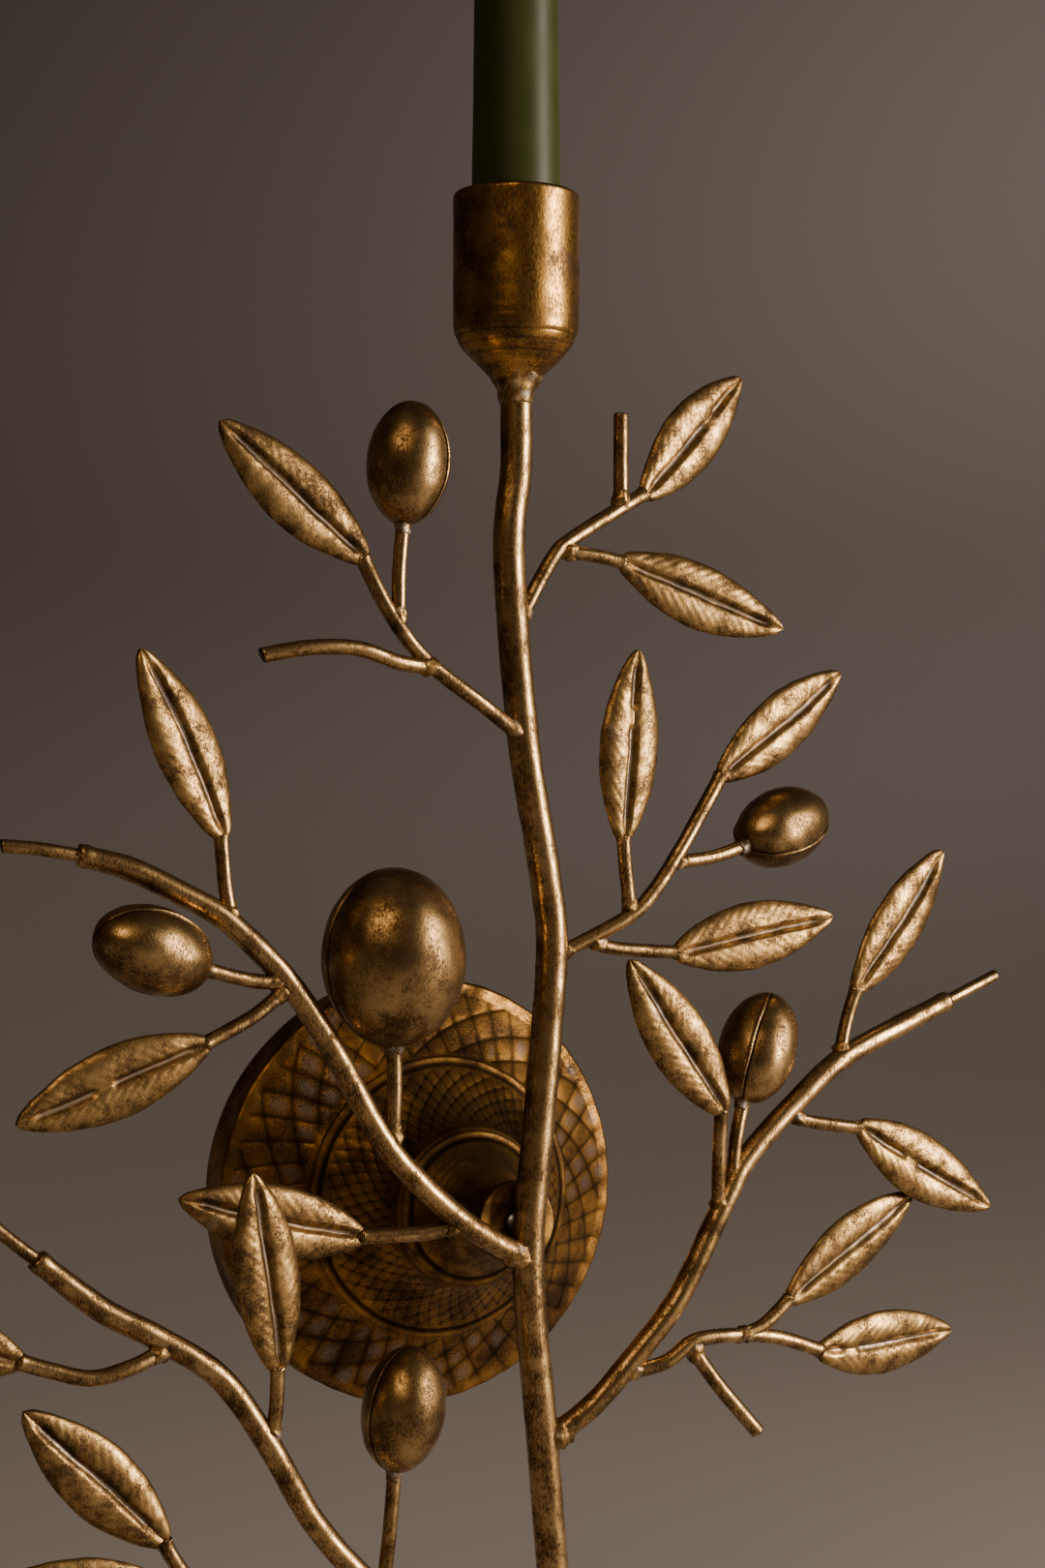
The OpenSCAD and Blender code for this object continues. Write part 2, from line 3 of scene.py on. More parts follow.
import bmesh
import bpy
import numpy as np
from mathutils import Euler, Matrix, Vector, noise


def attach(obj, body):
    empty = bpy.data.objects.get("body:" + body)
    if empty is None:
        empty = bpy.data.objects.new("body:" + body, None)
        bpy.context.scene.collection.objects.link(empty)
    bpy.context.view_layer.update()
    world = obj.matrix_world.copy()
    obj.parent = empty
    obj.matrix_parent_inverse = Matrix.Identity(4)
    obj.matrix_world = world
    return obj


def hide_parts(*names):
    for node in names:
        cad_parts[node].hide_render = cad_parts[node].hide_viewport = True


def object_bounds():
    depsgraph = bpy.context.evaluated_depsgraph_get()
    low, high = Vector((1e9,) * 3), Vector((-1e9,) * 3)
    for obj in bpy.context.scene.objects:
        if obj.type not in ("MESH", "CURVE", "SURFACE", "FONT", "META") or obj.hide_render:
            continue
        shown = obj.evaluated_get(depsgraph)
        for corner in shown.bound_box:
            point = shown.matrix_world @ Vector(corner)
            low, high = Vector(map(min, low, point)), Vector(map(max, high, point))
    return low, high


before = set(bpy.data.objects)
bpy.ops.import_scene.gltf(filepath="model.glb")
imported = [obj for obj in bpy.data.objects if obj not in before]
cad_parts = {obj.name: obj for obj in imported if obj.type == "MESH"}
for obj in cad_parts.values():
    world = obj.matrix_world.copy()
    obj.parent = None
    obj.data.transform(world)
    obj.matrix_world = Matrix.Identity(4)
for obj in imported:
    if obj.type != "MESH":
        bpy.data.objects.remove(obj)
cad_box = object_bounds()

# ---- Steel fixings behind the rose ----
# A 20 mm strap across the back of the dish hangs on two screw heads by its keyholes. An M6
# threaded rod, a washer and two nuts draw the strap, the dish and the bells together.
# All are mild steel with bright zinc plating, punched or rolled to shape.
MM = 0.001
nut_across_flats = 10 * MM
rod_r = 3 * MM
thread_pitch = 1 * MM
thread_depth = 0.55 * MM
rod_from, rod_to = 0.8 * MM, 69.4 * MM
nut_depths = {"rear_nut": 0.8 * MM, "neck_nut": 62.6 * MM}
zinc_light, zinc_dark, oil_stain = "B9BCBB", "84888A", "5E5547"


def linear(hex_colour):
    """An sRGB hex colour as the linear RGBA that shaders take."""
    parts = [int(hex_colour[i:i + 2], 16) / 255 for i in (0, 2, 4)]
    return (*[c / 12.92 if c <= 0.04045 else ((c + 0.055) / 1.055) ** 2.4 for c in parts], 1.0)


def add(tree, kind, inputs=None, stops=(), **settings):
    """Adds a node: settings are its own properties, inputs are values or the outputs that feed it."""
    made = tree.nodes.new("ShaderNode" + kind)
    for key, value in settings.items():
        setattr(made, key, value)
    for place, value in (inputs or {}).items():
        if isinstance(value, bpy.types.NodeSocket):
            tree.links.new(value, made.inputs[place])
        else:
            made.inputs[place].default_value = value
    for i, (place, grey) in enumerate(stops):
        stop = made.color_ramp.elements[i] if i < 2 else made.color_ramp.elements.new(place)
        stop.position, stop.color = place, (grey, grey, grey, 1)
    return made


def new_material(name):
    """An empty node material and its tree."""
    material = bpy.data.materials.new(name)
    material.use_nodes = True
    material.node_tree.nodes.clear()
    return material, material.node_tree


def skin(rings, loop=False):
    """Corner points and faces over rings of equally many points. loop joins the last ring to
    the first; otherwise each end closes on its own middle point."""
    rings = np.asarray(rings, float)
    rows, n = rings.shape[:2]
    j = np.arange(rows if loop else rows - 1)[:, None] * n
    k = np.arange(n)[None, :]
    last = rows * n
    quads = np.stack([j + k, j + (k + 1) % n, (j + n) % last + (k + 1) % n,
                      (j + n) % last + k], axis=-1).reshape(-1, 4).tolist()
    points = rings.reshape(-1, 3)
    if not loop:
        points = np.vstack([points, rings[0].mean(0), rings[-1].mean(0)])
        k = np.arange(n)
        quads += np.stack([(k + 1) % n, k, np.full(n, last)], axis=-1).tolist()
        top = (rows - 1) * n
        quads += np.stack([top + k, top + (k + 1) % n, np.full(n, last + 1)], axis=-1).tolist()
    return points, quads


def build(name, shells, material, marks=None):
    """One smooth object from a list of (points, faces) shells. marks are named values per
    point, which the material reads as attributes."""
    points, faces = [], []
    for shell_points, shell_faces in shells:
        start = len(points)
        points.extend(np.asarray(shell_points).tolist())
        faces.extend([[start + i for i in face] for face in shell_faces])
    mesh = bpy.data.meshes.new(name)
    mesh.from_pydata(points, [], faces)
    for mark, values in (marks or {}).items():
        mesh.attributes.new(mark, "FLOAT", "POINT").data.foreach_set(
            "value", np.asarray(values, np.float32))
    tidy = bmesh.new()
    tidy.from_mesh(mesh)
    bmesh.ops.recalc_face_normals(tidy, faces=tidy.faces)
    tidy.to_mesh(mesh)
    tidy.free()
    mesh.shade_smooth()
    mesh.materials.append(material)
    made = bpy.data.objects.new(name, mesh)
    bpy.context.scene.collection.objects.link(made)
    return made


def about_rose(r, turn, depth):
    """Points at radius r, angle turn and distance depth from the wall, about the rose's axis."""
    r, turn, depth = np.broadcast_arrays(r, turn, depth)
    return np.stack([r * np.cos(turn), -depth, r * np.sin(turn)], axis=-1)


def turns(n):
    """n equal angles round a full turn."""
    return np.arange(n) * math.tau / n


# Bright zinc plating on rolled steel: a cool grey metal with soft blotches where the plating
# took unevenly, fine rolling lines, and a thin brown film of old oil.
zinc, tree = new_material("zinc_plated_rolled_steel")
where = add(tree, "TexCoord")
blotch_size, line_size, line_stretch = 7 * MM, 0.35 * MM, 14
blotches = add(tree, "TexNoise", {"Vector": where.outputs["Object"], "Scale": 1 / blotch_size,
                                  "Detail": 4.0, "Roughness": 0.6})
stretched = add(tree, "Mapping", {"Vector": where.outputs["Object"],
                                  "Scale": (1, 1, 1 / line_stretch)})
lines = add(tree, "TexNoise", {"Vector": stretched.outputs["Vector"], "Scale": 1 / line_size,
                               "Detail": 2.0})
plating = add(tree, "Mix", {"Factor": blotches.outputs["Fac"], "A": linear(zinc_dark),
                            "B": linear(zinc_light)}, data_type="RGBA")
film = add(tree, "MapRange", {"Value": blotches.outputs["Fac"], "From Min": 0.56,
                              "From Max": 0.75, "To Max": 0.5})
stained = add(tree, "Mix", {"Factor": film.outputs["Result"], "A": plating.outputs["Result"],
                            "B": linear(oil_stain)}, data_type="RGBA")
gloss = add(tree, "MapRange", {"Value": blotches.outputs["Fac"], "To Min": 0.24, "To Max": 0.48})
dents = add(tree, "Bump", {"Height": lines.outputs["Fac"], "Strength": 0.35,
                           "Distance": 0.05 * MM})
surface = add(tree, "BsdfPrincipled", {"Base Color": stained.outputs["Result"], "Metallic": 1.0,
                                       "Roughness": gloss.outputs["Result"],
                                       "Normal": dents.outputs["Normal"]})
add(tree, "OutputMaterial", {"Surface": surface.outputs["BSDF"]})

# The punched strap and washer are right as they are, and only take eased edges.
for node, edge in (("hanger_strap", 0.3 * MM), ("rear_washer", 0.15 * MM)):
    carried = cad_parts[node]
    carried.data.materials.clear()
    carried.data.materials.append(zinc)
    eased = carried.modifiers.new("eased_edges", "BEVEL")
    eased.width, eased.segments, eased.limit_method = edge, 2, "ANGLE"
    eased.angle_limit = math.radians(40)

# Rolled thread: the radius falls from crest to root along a helix.
rod_turn = turns(36)
rod_depth = np.arange(rod_from, rod_to, thread_pitch / 5)
phase = (rod_depth[:, None] / thread_pitch - rod_turn[None, :] / math.tau) % 1
groove = np.clip(1.25 - 2.5 * np.abs(phase - 0.5), 0, 1)
end_ease = np.clip(np.minimum(rod_depth - rod_from, rod_to - rod_depth) / thread_pitch, 0, 1)
thread_r = rod_r - thread_depth * (groove * end_ease[:, None] + 1 - end_ease[:, None])
threaded_rod = build("threaded_rod", [skin(about_rose(thread_r, rod_turn[None, :],
                                                      rod_depth[:, None]))], zinc)
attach(threaded_rod, "holder")
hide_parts("centre_rod")

# Hexagon nuts with both corners chamfered by a cone, and a countersunk thread mouth.
nut_turn = turns(120)
hexagon = nut_across_flats / 2 / np.cos((nut_turn % (math.pi / 3)) - math.pi / 6)
nut_rows = [(0.0, 4.6), (0.12, 4.9), (0.55, 5.9), (2.65, 5.9), (3.08, 4.9), (3.2, 4.6)]
for name, at in nut_depths.items():
    rings = [about_rose(np.minimum(hexagon, limit * MM), nut_turn, at + h * MM)
             for h, limit in nut_rows]
    rings += [about_rose(r * MM, nut_turn, at + h * MM)
              for h, r in ((3.2, 3.45), (2.75, 3.02), (0.45, 3.02), (0.0, 3.45))]
    nut = build(name, [skin(rings, loop=True)], zinc)
    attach(nut, "holder")
    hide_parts("rod_nuts")

# ---- Embossed rose: wall dish and middle bell ----
# Both are 1.2 mm mild steel sheet, spun to a dish and a bell and pressed with a lattice of
# crossing spirals, so the cells stand up as pillows and shrink towards the axis. The dish
# stands on the wall on its rolled rim, and the bell's rolled foot stands on the dish's land.
rim_r, rim_depth, rim_edge = 57.0, 12.0, 1.5
face_r, foot_r, land_depth = 54.0, 36.8, 22.4
bell_top_r, bell_top_depth = 20.6, 43.0
sheet = 1.2
hole_r = 3.2
emboss_dish, emboss_bell = 0.45, 0.22
umber, lacquer, dark_amber, ochre = "1E140B", "4A3A28", "6B4A20", "A9803F"
# The lilac grey below is worn gilding on the rose's cell crowns, and also stands there as a painted
# highlight of the sky.
lilac_grey_wear_and_highlight, solder_grey = "7A706C", "958C84"


def rubbed_gold(name, low, high, patch_mm, grain_mm, rough, streak=1.0, bare_and_highlight_colour=solder_grey):
    """Gilding wax rubbed over brown lacquer on steel. low and high are the thin and the full
    gilding, patch_mm the size of a rubbed patch, grain_mm that of its grain, and streak how
    far the rubbing drew the grain out upright."""
    material, tree = new_material(name)
    where = add(tree, "TexCoord").outputs["Object"]
    bare_and_highlight = add(tree, "Attribute", attribute_name="bare_and_highlight").outputs["Fac"]
    grime_and_shade = add(tree, "Attribute", attribute_name="grime_and_shade").outputs["Fac"]
    rub = add(tree, "TexNoise", {"Vector": where, "Scale": 1 / (patch_mm * MM), "Detail": 3.0,
                                 "Roughness": 0.6}).outputs["Fac"]
    drawn = add(tree, "Mapping", {"Vector": where, "Scale": (1, 1, 1 / streak)})
    grain = add(tree, "TexNoise", {"Vector": drawn.outputs["Vector"],
                                   "Scale": 1 / (grain_mm * MM), "Detail": 3.0,
                                   "Roughness": 0.65}).outputs["Fac"]
    full = add(tree, "MapRange", {"Value": rub, "From Min": 0.3, "From Max": 0.7}
               ).outputs["Result"]
    tone = add(tree, "Mix", {"Factor": full, "A": linear(low), "B": linear(high)},
               data_type="RGBA").outputs["Result"]
    # Lacquer shows between the grains of gold, and more of it where the gilding is thin.
    cover = add(tree, "Math", {0: rub, 1: 0.8, 2: grain}, operation="MULTIPLY_ADD").outputs[0]
    gilt = add(tree, "MapRange", {"Value": cover, "From Min": 0.74, "From Max": 1.0}
               ).outputs["Result"]
    gilded = add(tree, "Mix", {"Factor": gilt, "A": linear(lacquer), "B": tone},
                 data_type="RGBA").outputs["Result"]
    # This mark darkens the colour towards umber: on bare cut faces and in grooves, and as painted
    # shade inside the bells' feet, along the olive seams and in the cup's bore.
    grime_and_shade_edge = add(tree, "Math", {0: grain, 1: 0.7, 2: grime_and_shade}, operation="MULTIPLY_ADD")
    grime_and_shade_share = add(tree, "MapRange", {"Value": grime_and_shade_edge.outputs[0], "From Min": 0.55,
                                  "From Max": 1.05, "To Max": 0.92}).outputs["Result"]
    with_grime_and_shade = add(tree, "Mix", {"Factor": grime_and_shade_share, "A": gilded, "B": linear(umber)},
                data_type="RGBA").outputs["Result"]
    # This mark turns the colour towards the bare colour and makes it less metallic: worn gilding and
    # grey solder on welds and collars, lead grey on the leaves' groove floors, and also a painted
    # highlight on the rose's cell crowns and the olives' seam edges.
    bare_and_highlight_edge = add(tree, "Math", {0: grain, 1: 0.8, 2: bare_and_highlight}, operation="MULTIPLY_ADD")
    bare_and_highlight_share = add(tree, "MapRange", {"Value": bare_and_highlight_edge.outputs[0], "From Min": 0.65,
                                  "From Max": 1.3, "To Max": 0.85}).outputs["Result"]
    colour = add(tree, "Mix", {"Factor": bare_and_highlight_share, "A": with_grime_and_shade, "B": linear(bare_and_highlight_colour)},
                 data_type="RGBA").outputs["Result"]
    metal = add(tree, "MapRange", {"Value": bare_and_highlight_share, "To Min": 1.0, "To Max": 0.35}
                ).outputs["Result"]
    dull = add(tree, "MapRange", {"Value": gilt, "To Min": rough + 0.26, "To Max": rough}
               ).outputs["Result"]
    fine = add(tree, "Bump", {"Height": grain, "Strength": 0.6, "Distance": 0.07 * MM})
    coarse = add(tree, "Bump", {"Height": rub, "Strength": 0.4, "Distance": 0.2 * MM,
                                "Normal": fine.outputs["Normal"]})
    surface = add(tree, "BsdfPrincipled", {"Base Color": colour, "Metallic": metal,
                                           "Roughness": dull,
                                           "Normal": coarse.outputs["Normal"]})
    add(tree, "OutputMaterial", {"Surface": surface.outputs["BSDF"]})
    return material


def flare(r0, h0, r1, h1, bow, steps):
    """A trumpet-shaped run of the profile from [r0, h0] in to [r1, h1]."""
    t = np.linspace(0, 1, steps + 1)
    return np.stack([r1 + (r0 - r1) * (1 - t) ** bow, h0 + (h1 - h0) * t], axis=-1)


def corner(r, h, radius, start, end, steps):
    """A rounded corner of the profile about [r, h], between two angles in degrees."""
    a = np.radians(np.linspace(start, end, steps + 1))
    return np.stack([r + radius * np.cos(a), h + radius * np.sin(a)], axis=-1)


def lattice(r, turn, across, spin, against, back_spin):
    """Height of the pressed pillows, 0 in a groove to 1 on a cell, and a random value per
    cell. Two families of spirals cross: across and against are their numbers round a turn,
    spin and back_spin how much they wind."""
    u = (across * turn + spin * np.log(r)) / math.tau
    v = (against * turn - back_spin * np.log(r)) / math.tau
    pillow = np.abs(np.sin(math.pi * u) * np.sin(math.pi * v)) ** 0.32
    cell = np.sin(np.floor(u) % across * 12.9898 + np.floor(v) % against * 78.233) * 43758.5453
    return pillow, cell - np.floor(cell)


def spun(profile, n, lift=None):
    """Rings of a spun profile in mm. lift gives how far each point stands off its sheet."""
    profile = np.asarray(profile, float)
    turn = turns(n)
    way = np.gradient(profile, axis=0)
    way /= np.maximum(np.linalg.norm(way, axis=1, keepdims=True), 1e-9)
    out = np.stack([way[:, 1], -way[:, 0]], axis=-1)
    off = np.zeros((len(profile), n)) if lift is None else lift
    r = profile[:, :1] + out[:, :1] * off
    h = profile[:, 1:] + out[:, 1:] * off
    return about_rose(r * MM, turn[None, :], h * MM)

noise.seed_set(5)        # noise_vector draws its offsets from this seed


def hand_wobble(points, size, height):
    """Moves points by smooth noise: size is its grain and height its reach, both in metres."""
    flat = points.reshape(-1, 3)
    moved = [noise.noise_vector(Vector(p) / size) for p in flat]
    return (flat + height * np.array(moved)).reshape(points.shape)


# Pressed and gilded steel sheet: amber over umber, grooves left dark, and lilac-grey on the crowns of
# some cells, partly bare patches and partly a painted highlight of the sky.
rose_gold = rubbed_gold("gilded_pressed_steel", "7A5222", "B98A44", 11, 0.5, 0.36, 1.0, lilac_grey_wear_and_highlight)

n_dish = 720
outer = np.vstack([
    np.stack([np.full(7, rim_r), np.linspace(0, rim_depth - 1.1 * rim_edge, 7)], axis=-1),
    corner(rim_r - rim_edge, rim_depth - rim_edge, rim_edge, 0, 70, 6),
    flare(face_r, rim_depth, foot_r, land_depth, 1.1, 52)[1:],
    [[30, land_depth], [12, land_depth], [hole_r, land_depth]]])
inner = np.vstack([
    [[hole_r, land_depth - sheet], [12, land_depth - sheet], [30, land_depth - sheet]],
    flare(face_r - 1.5, rim_depth - 0.9 * sheet, foot_r, land_depth - sheet, 1.1, 52)[::-1],
    [[rim_r - sheet, rim_depth - 2 * sheet], [rim_r - sheet, 5], [rim_r - sheet, 0]]])
profile = np.vstack([outer, inner])
turn = turns(n_dish)[None, :]
pillow, cell = lattice(profile[:, :1], turn, 46, -17, 21, -40)
shown = np.clip((54.9 - profile[:, :1]) / 1.2, 0, 1) * np.clip((profile[:, :1] - 37.6) / 1.0, 0, 1)
# The lilac-grey crowns gather in three sectors round the dish: partly gilding worn off, partly a
# painted highlight.
worn_and_highlight_sectors = 0.3 * np.sin(3 * turn + 0.6) - 0.12 * (profile[:, :1] < 44)
facing = np.where(np.arange(len(profile)) < len(outer), 1.0, -1.0)[:, None]
rim_wave = 0.14 * np.sin(turn * 46 + 1.1) * np.exp(-((profile[:, :1] - 55.2) / 2.2) ** 2) \
    * (profile[:, 1:] > 8)
lift = facing * (emboss_dish * (pillow - 0.75) * shown + rim_wave)
# The grooves between the pillows are darkened towards umber. Some cell crowns turn lilac-grey, partly
# worn gilding and partly a painted highlight.
dish = build("wall_dish_embossed", [skin(hand_wobble(spun(profile, n_dish, lift), 14 * MM,
                                                     0.2 * MM), loop=True)],
             rose_gold,
             {"grime_and_shade": (0.7 * shown * np.clip(1 - pillow ** 2 * 1.5, 0, 1)).ravel(),
              "bare_and_highlight": (0.62 * shown * (cell + worn_and_highlight_sectors > 0.62)
                       * np.clip(pillow * 2.6 - 1.5, 0, 1)).ravel()})
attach(dish, "holder")
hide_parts("wall_dish")

n_bell = 600
roll = 1.0
outer = np.vstack([
    corner(foot_r - 0.6, land_depth + roll, roll, -90, 75, 12),
    flare(foot_r - 1.5, land_depth + 2.2, bell_top_r, bell_top_depth, 1.9, 60)[1:],
    [[12, bell_top_depth], [hole_r, bell_top_depth]]])
inner = np.vstack([
    [[hole_r, bell_top_depth - sheet], [12, bell_top_depth - sheet]],
    flare(foot_r - 2.8, land_depth + 1.4, bell_top_r - sheet, bell_top_depth - sheet, 1.9,
          60)[::-1],
    [[foot_r - 2.2, land_depth + 0.2]]])
profile = np.vstack([outer, inner])
turn = turns(n_bell)[None, :]
pillow, cell = lattice(profile[:, :1], turn, 60, -30, 36, -56)
shown = np.clip((34.6 - profile[:, :1]) / 1.2, 0, 1) * np.clip((profile[:, :1] - 20.9) / 1.0, 0, 1)
facing = np.where(np.arange(len(profile)) < len(outer), 1.0, -1.0)[:, None]
lift = facing * emboss_bell * (pillow - 0.75) * shown
# The dark ring just inside the rolled foot is painted shadow under the bead. The grooves are darkened,
# and the crowns of some cells turn lilac-grey, partly worn gilding and partly a painted highlight.
bell = build("middle_bell_embossed", [skin(hand_wobble(spun(profile, n_bell, lift), 9 * MM,
                                                       0.12 * MM), loop=True)],
             rose_gold,
             {"grime_and_shade": (0.75 * np.clip(1 - pillow ** 2 * 1.5, 0, 1) * shown
                        + np.exp(-((profile[:, :1] - 34.9) / 0.5) ** 2)).clip(0, 1).ravel(),
              "bare_and_highlight": (0.4 * shown * (cell > 0.8) * np.clip(pillow * 2 - 1.3, 0, 1)).ravel()})
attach(bell, "holder")
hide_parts("middle_bell")

# ---- Neck bell and end disc ----
# A small plain bell, spun smooth from the same sheet, carries the spray clear of the wall.
# A 3 mm disc with a 7 mm hole is brazed on its end, and the stem is welded across the disc.
neck_foot_r, neck_top_r, neck_top_depth = 19.6, 8.8, 67.0
disc_r, disc_hole_r, disc_thick = 10.3, 3.5, 3.0

neck_gold = rubbed_gold("gilded_spun_steel", dark_amber, ochre, 6, 0.4, 0.36)
profile = np.vstack([
    corner(neck_foot_r - 0.5, bell_top_depth + 0.9, 0.9, -90, 75, 10),
    flare(neck_foot_r - 1.3, bell_top_depth + 2, neck_top_r, neck_top_depth, 2.4, 44)[1:],
    [[hole_r, neck_top_depth], [hole_r, neck_top_depth - sheet]],
    flare(neck_foot_r - 2.5, bell_top_depth + 1.3, neck_top_r - sheet, neck_top_depth - sheet,
          2.4, 30)[::-1],
    [[neck_foot_r - 2, bell_top_depth + 0.2]]])
ridges = 0.05 * np.sin(profile[:, 1:] * math.tau / 1.6) * (profile[:, 1:] > 47)
# The dark ring just inside the foot's bead is painted shadow under it.
neck = build("neck_bell_spun", [skin(hand_wobble(
    spun(profile, 200, np.broadcast_to(ridges, (len(profile), 200))), 7 * MM, 0.15 * MM),
    loop=True)], neck_gold,
    {"grime_and_shade": np.repeat(np.exp(-((profile[:, 0] - 17.9) / 0.6) ** 2), 200)})
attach(neck, "holder")
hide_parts("neck_bell")

edge = 0.35
back, front = neck_top_depth, neck_top_depth + disc_thick
profile = np.vstack([
    corner(disc_r - edge, back + edge, edge, -90, 0, 4),
    corner(disc_r - edge, front - edge, edge, 0, 90, 4),
    [[8, front], [5.5, front]],
    corner(disc_hole_r + edge, front - edge, edge, 90, 180, 4),
    corner(disc_hole_r + edge, back + edge, edge, 180, 270, 4)])
disc = build("end_disc_brazed", [skin(hand_wobble(spun(profile, 160), 3 * MM, 0.12 * MM),
                                      loop=True)], neck_gold)
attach(disc, "holder")
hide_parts("end_disc")

# ---- Forged spray: stem, branches, twigs and stalks ----
# Round mild steel bar, 8 mm for the stem, 5.8 mm for the branches and 3.2 to 3.8 mm for the
# rest, bent by hand over a former, cut off square with shears and welded one on the next.
# Each bar is set out as it is bent, leg by leg from its weld, in mm from the stem's plane.
stem_plane = -73.6
stem_d, branch_d, twig_d, stalk_d, tip_d = 8, 5.8, 3.8, 3.5, 3.2

def heading_axis(heading, lean):
    """Unit vector at heading degrees from +X towards +Z, tipped forward by lean degrees."""
    h, k = math.radians(heading), math.radians(lean)
    return np.array([math.cos(k) * math.cos(h), -math.sin(k), math.cos(k) * math.sin(h)])


def bent(start, legs):
    """A bar's points: from its weld it runs leg by leg, each leg [length, heading, lean]."""
    points = [np.array(start, float)]
    for length, heading, lean in legs:
        points.append(points[-1] + length * heading_axis(heading, lean))
    return points


def place_on(route, run):
    """The place on a bar a given run along it from its first point."""
    for a, b in zip(route[:-1], route[1:]):
        leg = np.linalg.norm(b - a)
        if run <= leg:
            break
        run -= leg
    return a + (b - a) * run / leg


# The stem is set out from the candle cup down, and its route then runs from foot to cup.
MAIN_STEM = bent([-2, 0, 207], [[20, -90, 0], [22, -95, 0], [45, -85, 0],
    [35, -80, 0], [20, -85, 0], [40, -95, 0], [35, -95, 0], [40, -85, 0], [35, -85, 0], [45, -85, 0],
    [25, -95, 0], [20, -110, 0]])[::-1]

UPPER_LEFT_TWIG = bent(place_on(MAIN_STEM, 295),
    [[15, 150, 20], [20, 145, 0], [15, 130, 0], [15, 115, -10]])
UPPER_LEFT_STUB = bent(place_on(UPPER_LEFT_TWIG, 32),
    [[10, 175, 10], [12, 165, 5], [12, 180, 0], [12, 190, -5]])
UPPER_LEFT_STALK = bent(place_on(UPPER_LEFT_TWIG, 46), [[12, 90, 0], [13, 85, 0]])

UPPER_RIGHT_TWIG = bent(place_on(MAIN_STEM, 322), [[20, 60, 0], [10, 40, -10], [25, 30, -5]])
UPPER_RIGHT_STUB = bent(place_on(UPPER_RIGHT_TWIG, 46), [[12, 90, 0], [12, 90, 0]])
UPPER_RIGHT_STALK = bent(place_on(UPPER_RIGHT_TWIG, 24), [[9, -5, 5], [9, -10, 0]])

RIGHT_TWIG = bent(place_on(MAIN_STEM, 240),
    [[20, 25, 5], [10, 35, 0], [15, 50, -5], [25, 55, -5]])
RIGHT_STALK_UP = bent(place_on(RIGHT_TWIG, 24), [[10, 100, 5], [10, 95, 0]])
RIGHT_STALK_OLIVE = bent(place_on(RIGHT_TWIG, 42), [[12, 5, -5], [12, 15, -5]])
RIGHT_STALK_SIDE = bent(place_on(RIGHT_TWIG, 12), [[6, -30, -5], [20, -5, 0]])

LEFT_BRANCH = bent(place_on(MAIN_STEM, 165), [[20, 150, 10], [20, 140, 5], [15, 130, 0],
    [25, 120, 0], [20, 125, 0], [20, 135, -5], [15, 150, -5], [12, 155, -5], [12, 165, -5]])
LEFT_TIP = bent(place_on(LEFT_BRANCH, 157), [[10, 170, 0], [9, 175, -5]])
LEFT_STALK_UP = bent(place_on(LEFT_BRANCH, 118), [[10, 100, 0], [12, 95, 0]])
LEFT_STALK_OLIVE = bent(place_on(LEFT_BRANCH, 99), [[10, 175, 5], [12, 165, 5]])
LEFT_STALK_LOW = bent(place_on(LEFT_BRANCH, 98), [[12, 215, 5], [14, 205, 5]])
LEFT_STALK_BIG = bent(place_on(LEFT_BRANCH, 50), [[13, 90, 5], [13, 90, 0]])
LEFT_SIDE_TWIG = bent(place_on(LEFT_BRANCH, 22), [[11, 190, -10], [16, 180, -10]])

RIGHT_BRANCH = bent(place_on(MAIN_STEM, 119), [[15, 35, 10], [15, 45, 5], [20, 50, 5],
    [25, 60, 0], [15, 55, -5], [20, 40, -5], [18, 35, -5], [22, 20, -10], [20, 20, -5]])
RIGHT_TIP = bent(place_on(RIGHT_BRANCH, 168), [[10, 20, -5], [9, 20, -5]])
RIGHT_STALK_HIGH = bent(place_on(RIGHT_BRANCH, 128), [[10, 75, -5], [10, 70, 0]])
RIGHT_STALK_OUT = bent(place_on(RIGHT_BRANCH, 108), [[5, -40, 10], [17, -10, 5]])
RIGHT_STALK_IN = bent(place_on(RIGHT_BRANCH, 73), [[13, 95, 10], [15, 90, 5]])
RIGHT_STALK_BUD = bent(place_on(RIGHT_BRANCH, 81), [[11, 85, 0], [12, 75, -5]])
RIGHT_SIDE_TWIG = bent(place_on(RIGHT_BRANCH, 26),
    [[12, 10, 10], [10, 30, 5], [14, 0, 0], [12, -10, -5], [14, -20, -5]])
RIGHT_SIDE_STALK = bent(place_on(RIGHT_SIDE_TWIG, 34), [[8, 15, 0], [11, 35, -5]])
RIGHT_SIDE_STUB = bent(place_on(RIGHT_SIDE_TWIG, 20), [[12, -55, 5], [18, -50, 5]])

LOWER_BRANCH = bent(place_on(MAIN_STEM, 55), [[25, 150, 5], [22, 145, 5], [22, 140, 5],
    [20, 130, 0], [22, 120, 0], [20, 125, -5], [18, 145, -5], [15, 150, -5], [20, 140, -5]])
LOWER_TIP = bent(place_on(LOWER_BRANCH, 182), [[12, 140, -5], [14, 135, -10]])
LOWER_STALK_UP = bent(place_on(LOWER_BRANCH, 110), [[10, 85, 10], [10, 90, 5]])
LOWER_STALK_OLIVE = bent(place_on(LOWER_BRANCH, 62), [[15, 85, 5], [15, 85, 0]])
LOWER_TWIG = bent(place_on(LOWER_BRANCH, 145),
    [[10, 200, 10], [10, 190, 0], [10, 165, -5], [8, 160, -5]])

FOOT_TWIG = bent(place_on(MAIN_STEM, 30),
    [[30, 150, 0], [30, 150, 0], [27, 145, 0], [20, 140, -5], [13, 130, -5], [10, 120, 0]])
FOOT_STALK = bent(place_on(FOOT_TWIG, 105), [[7, 150, 10], [7, 155, 5]])

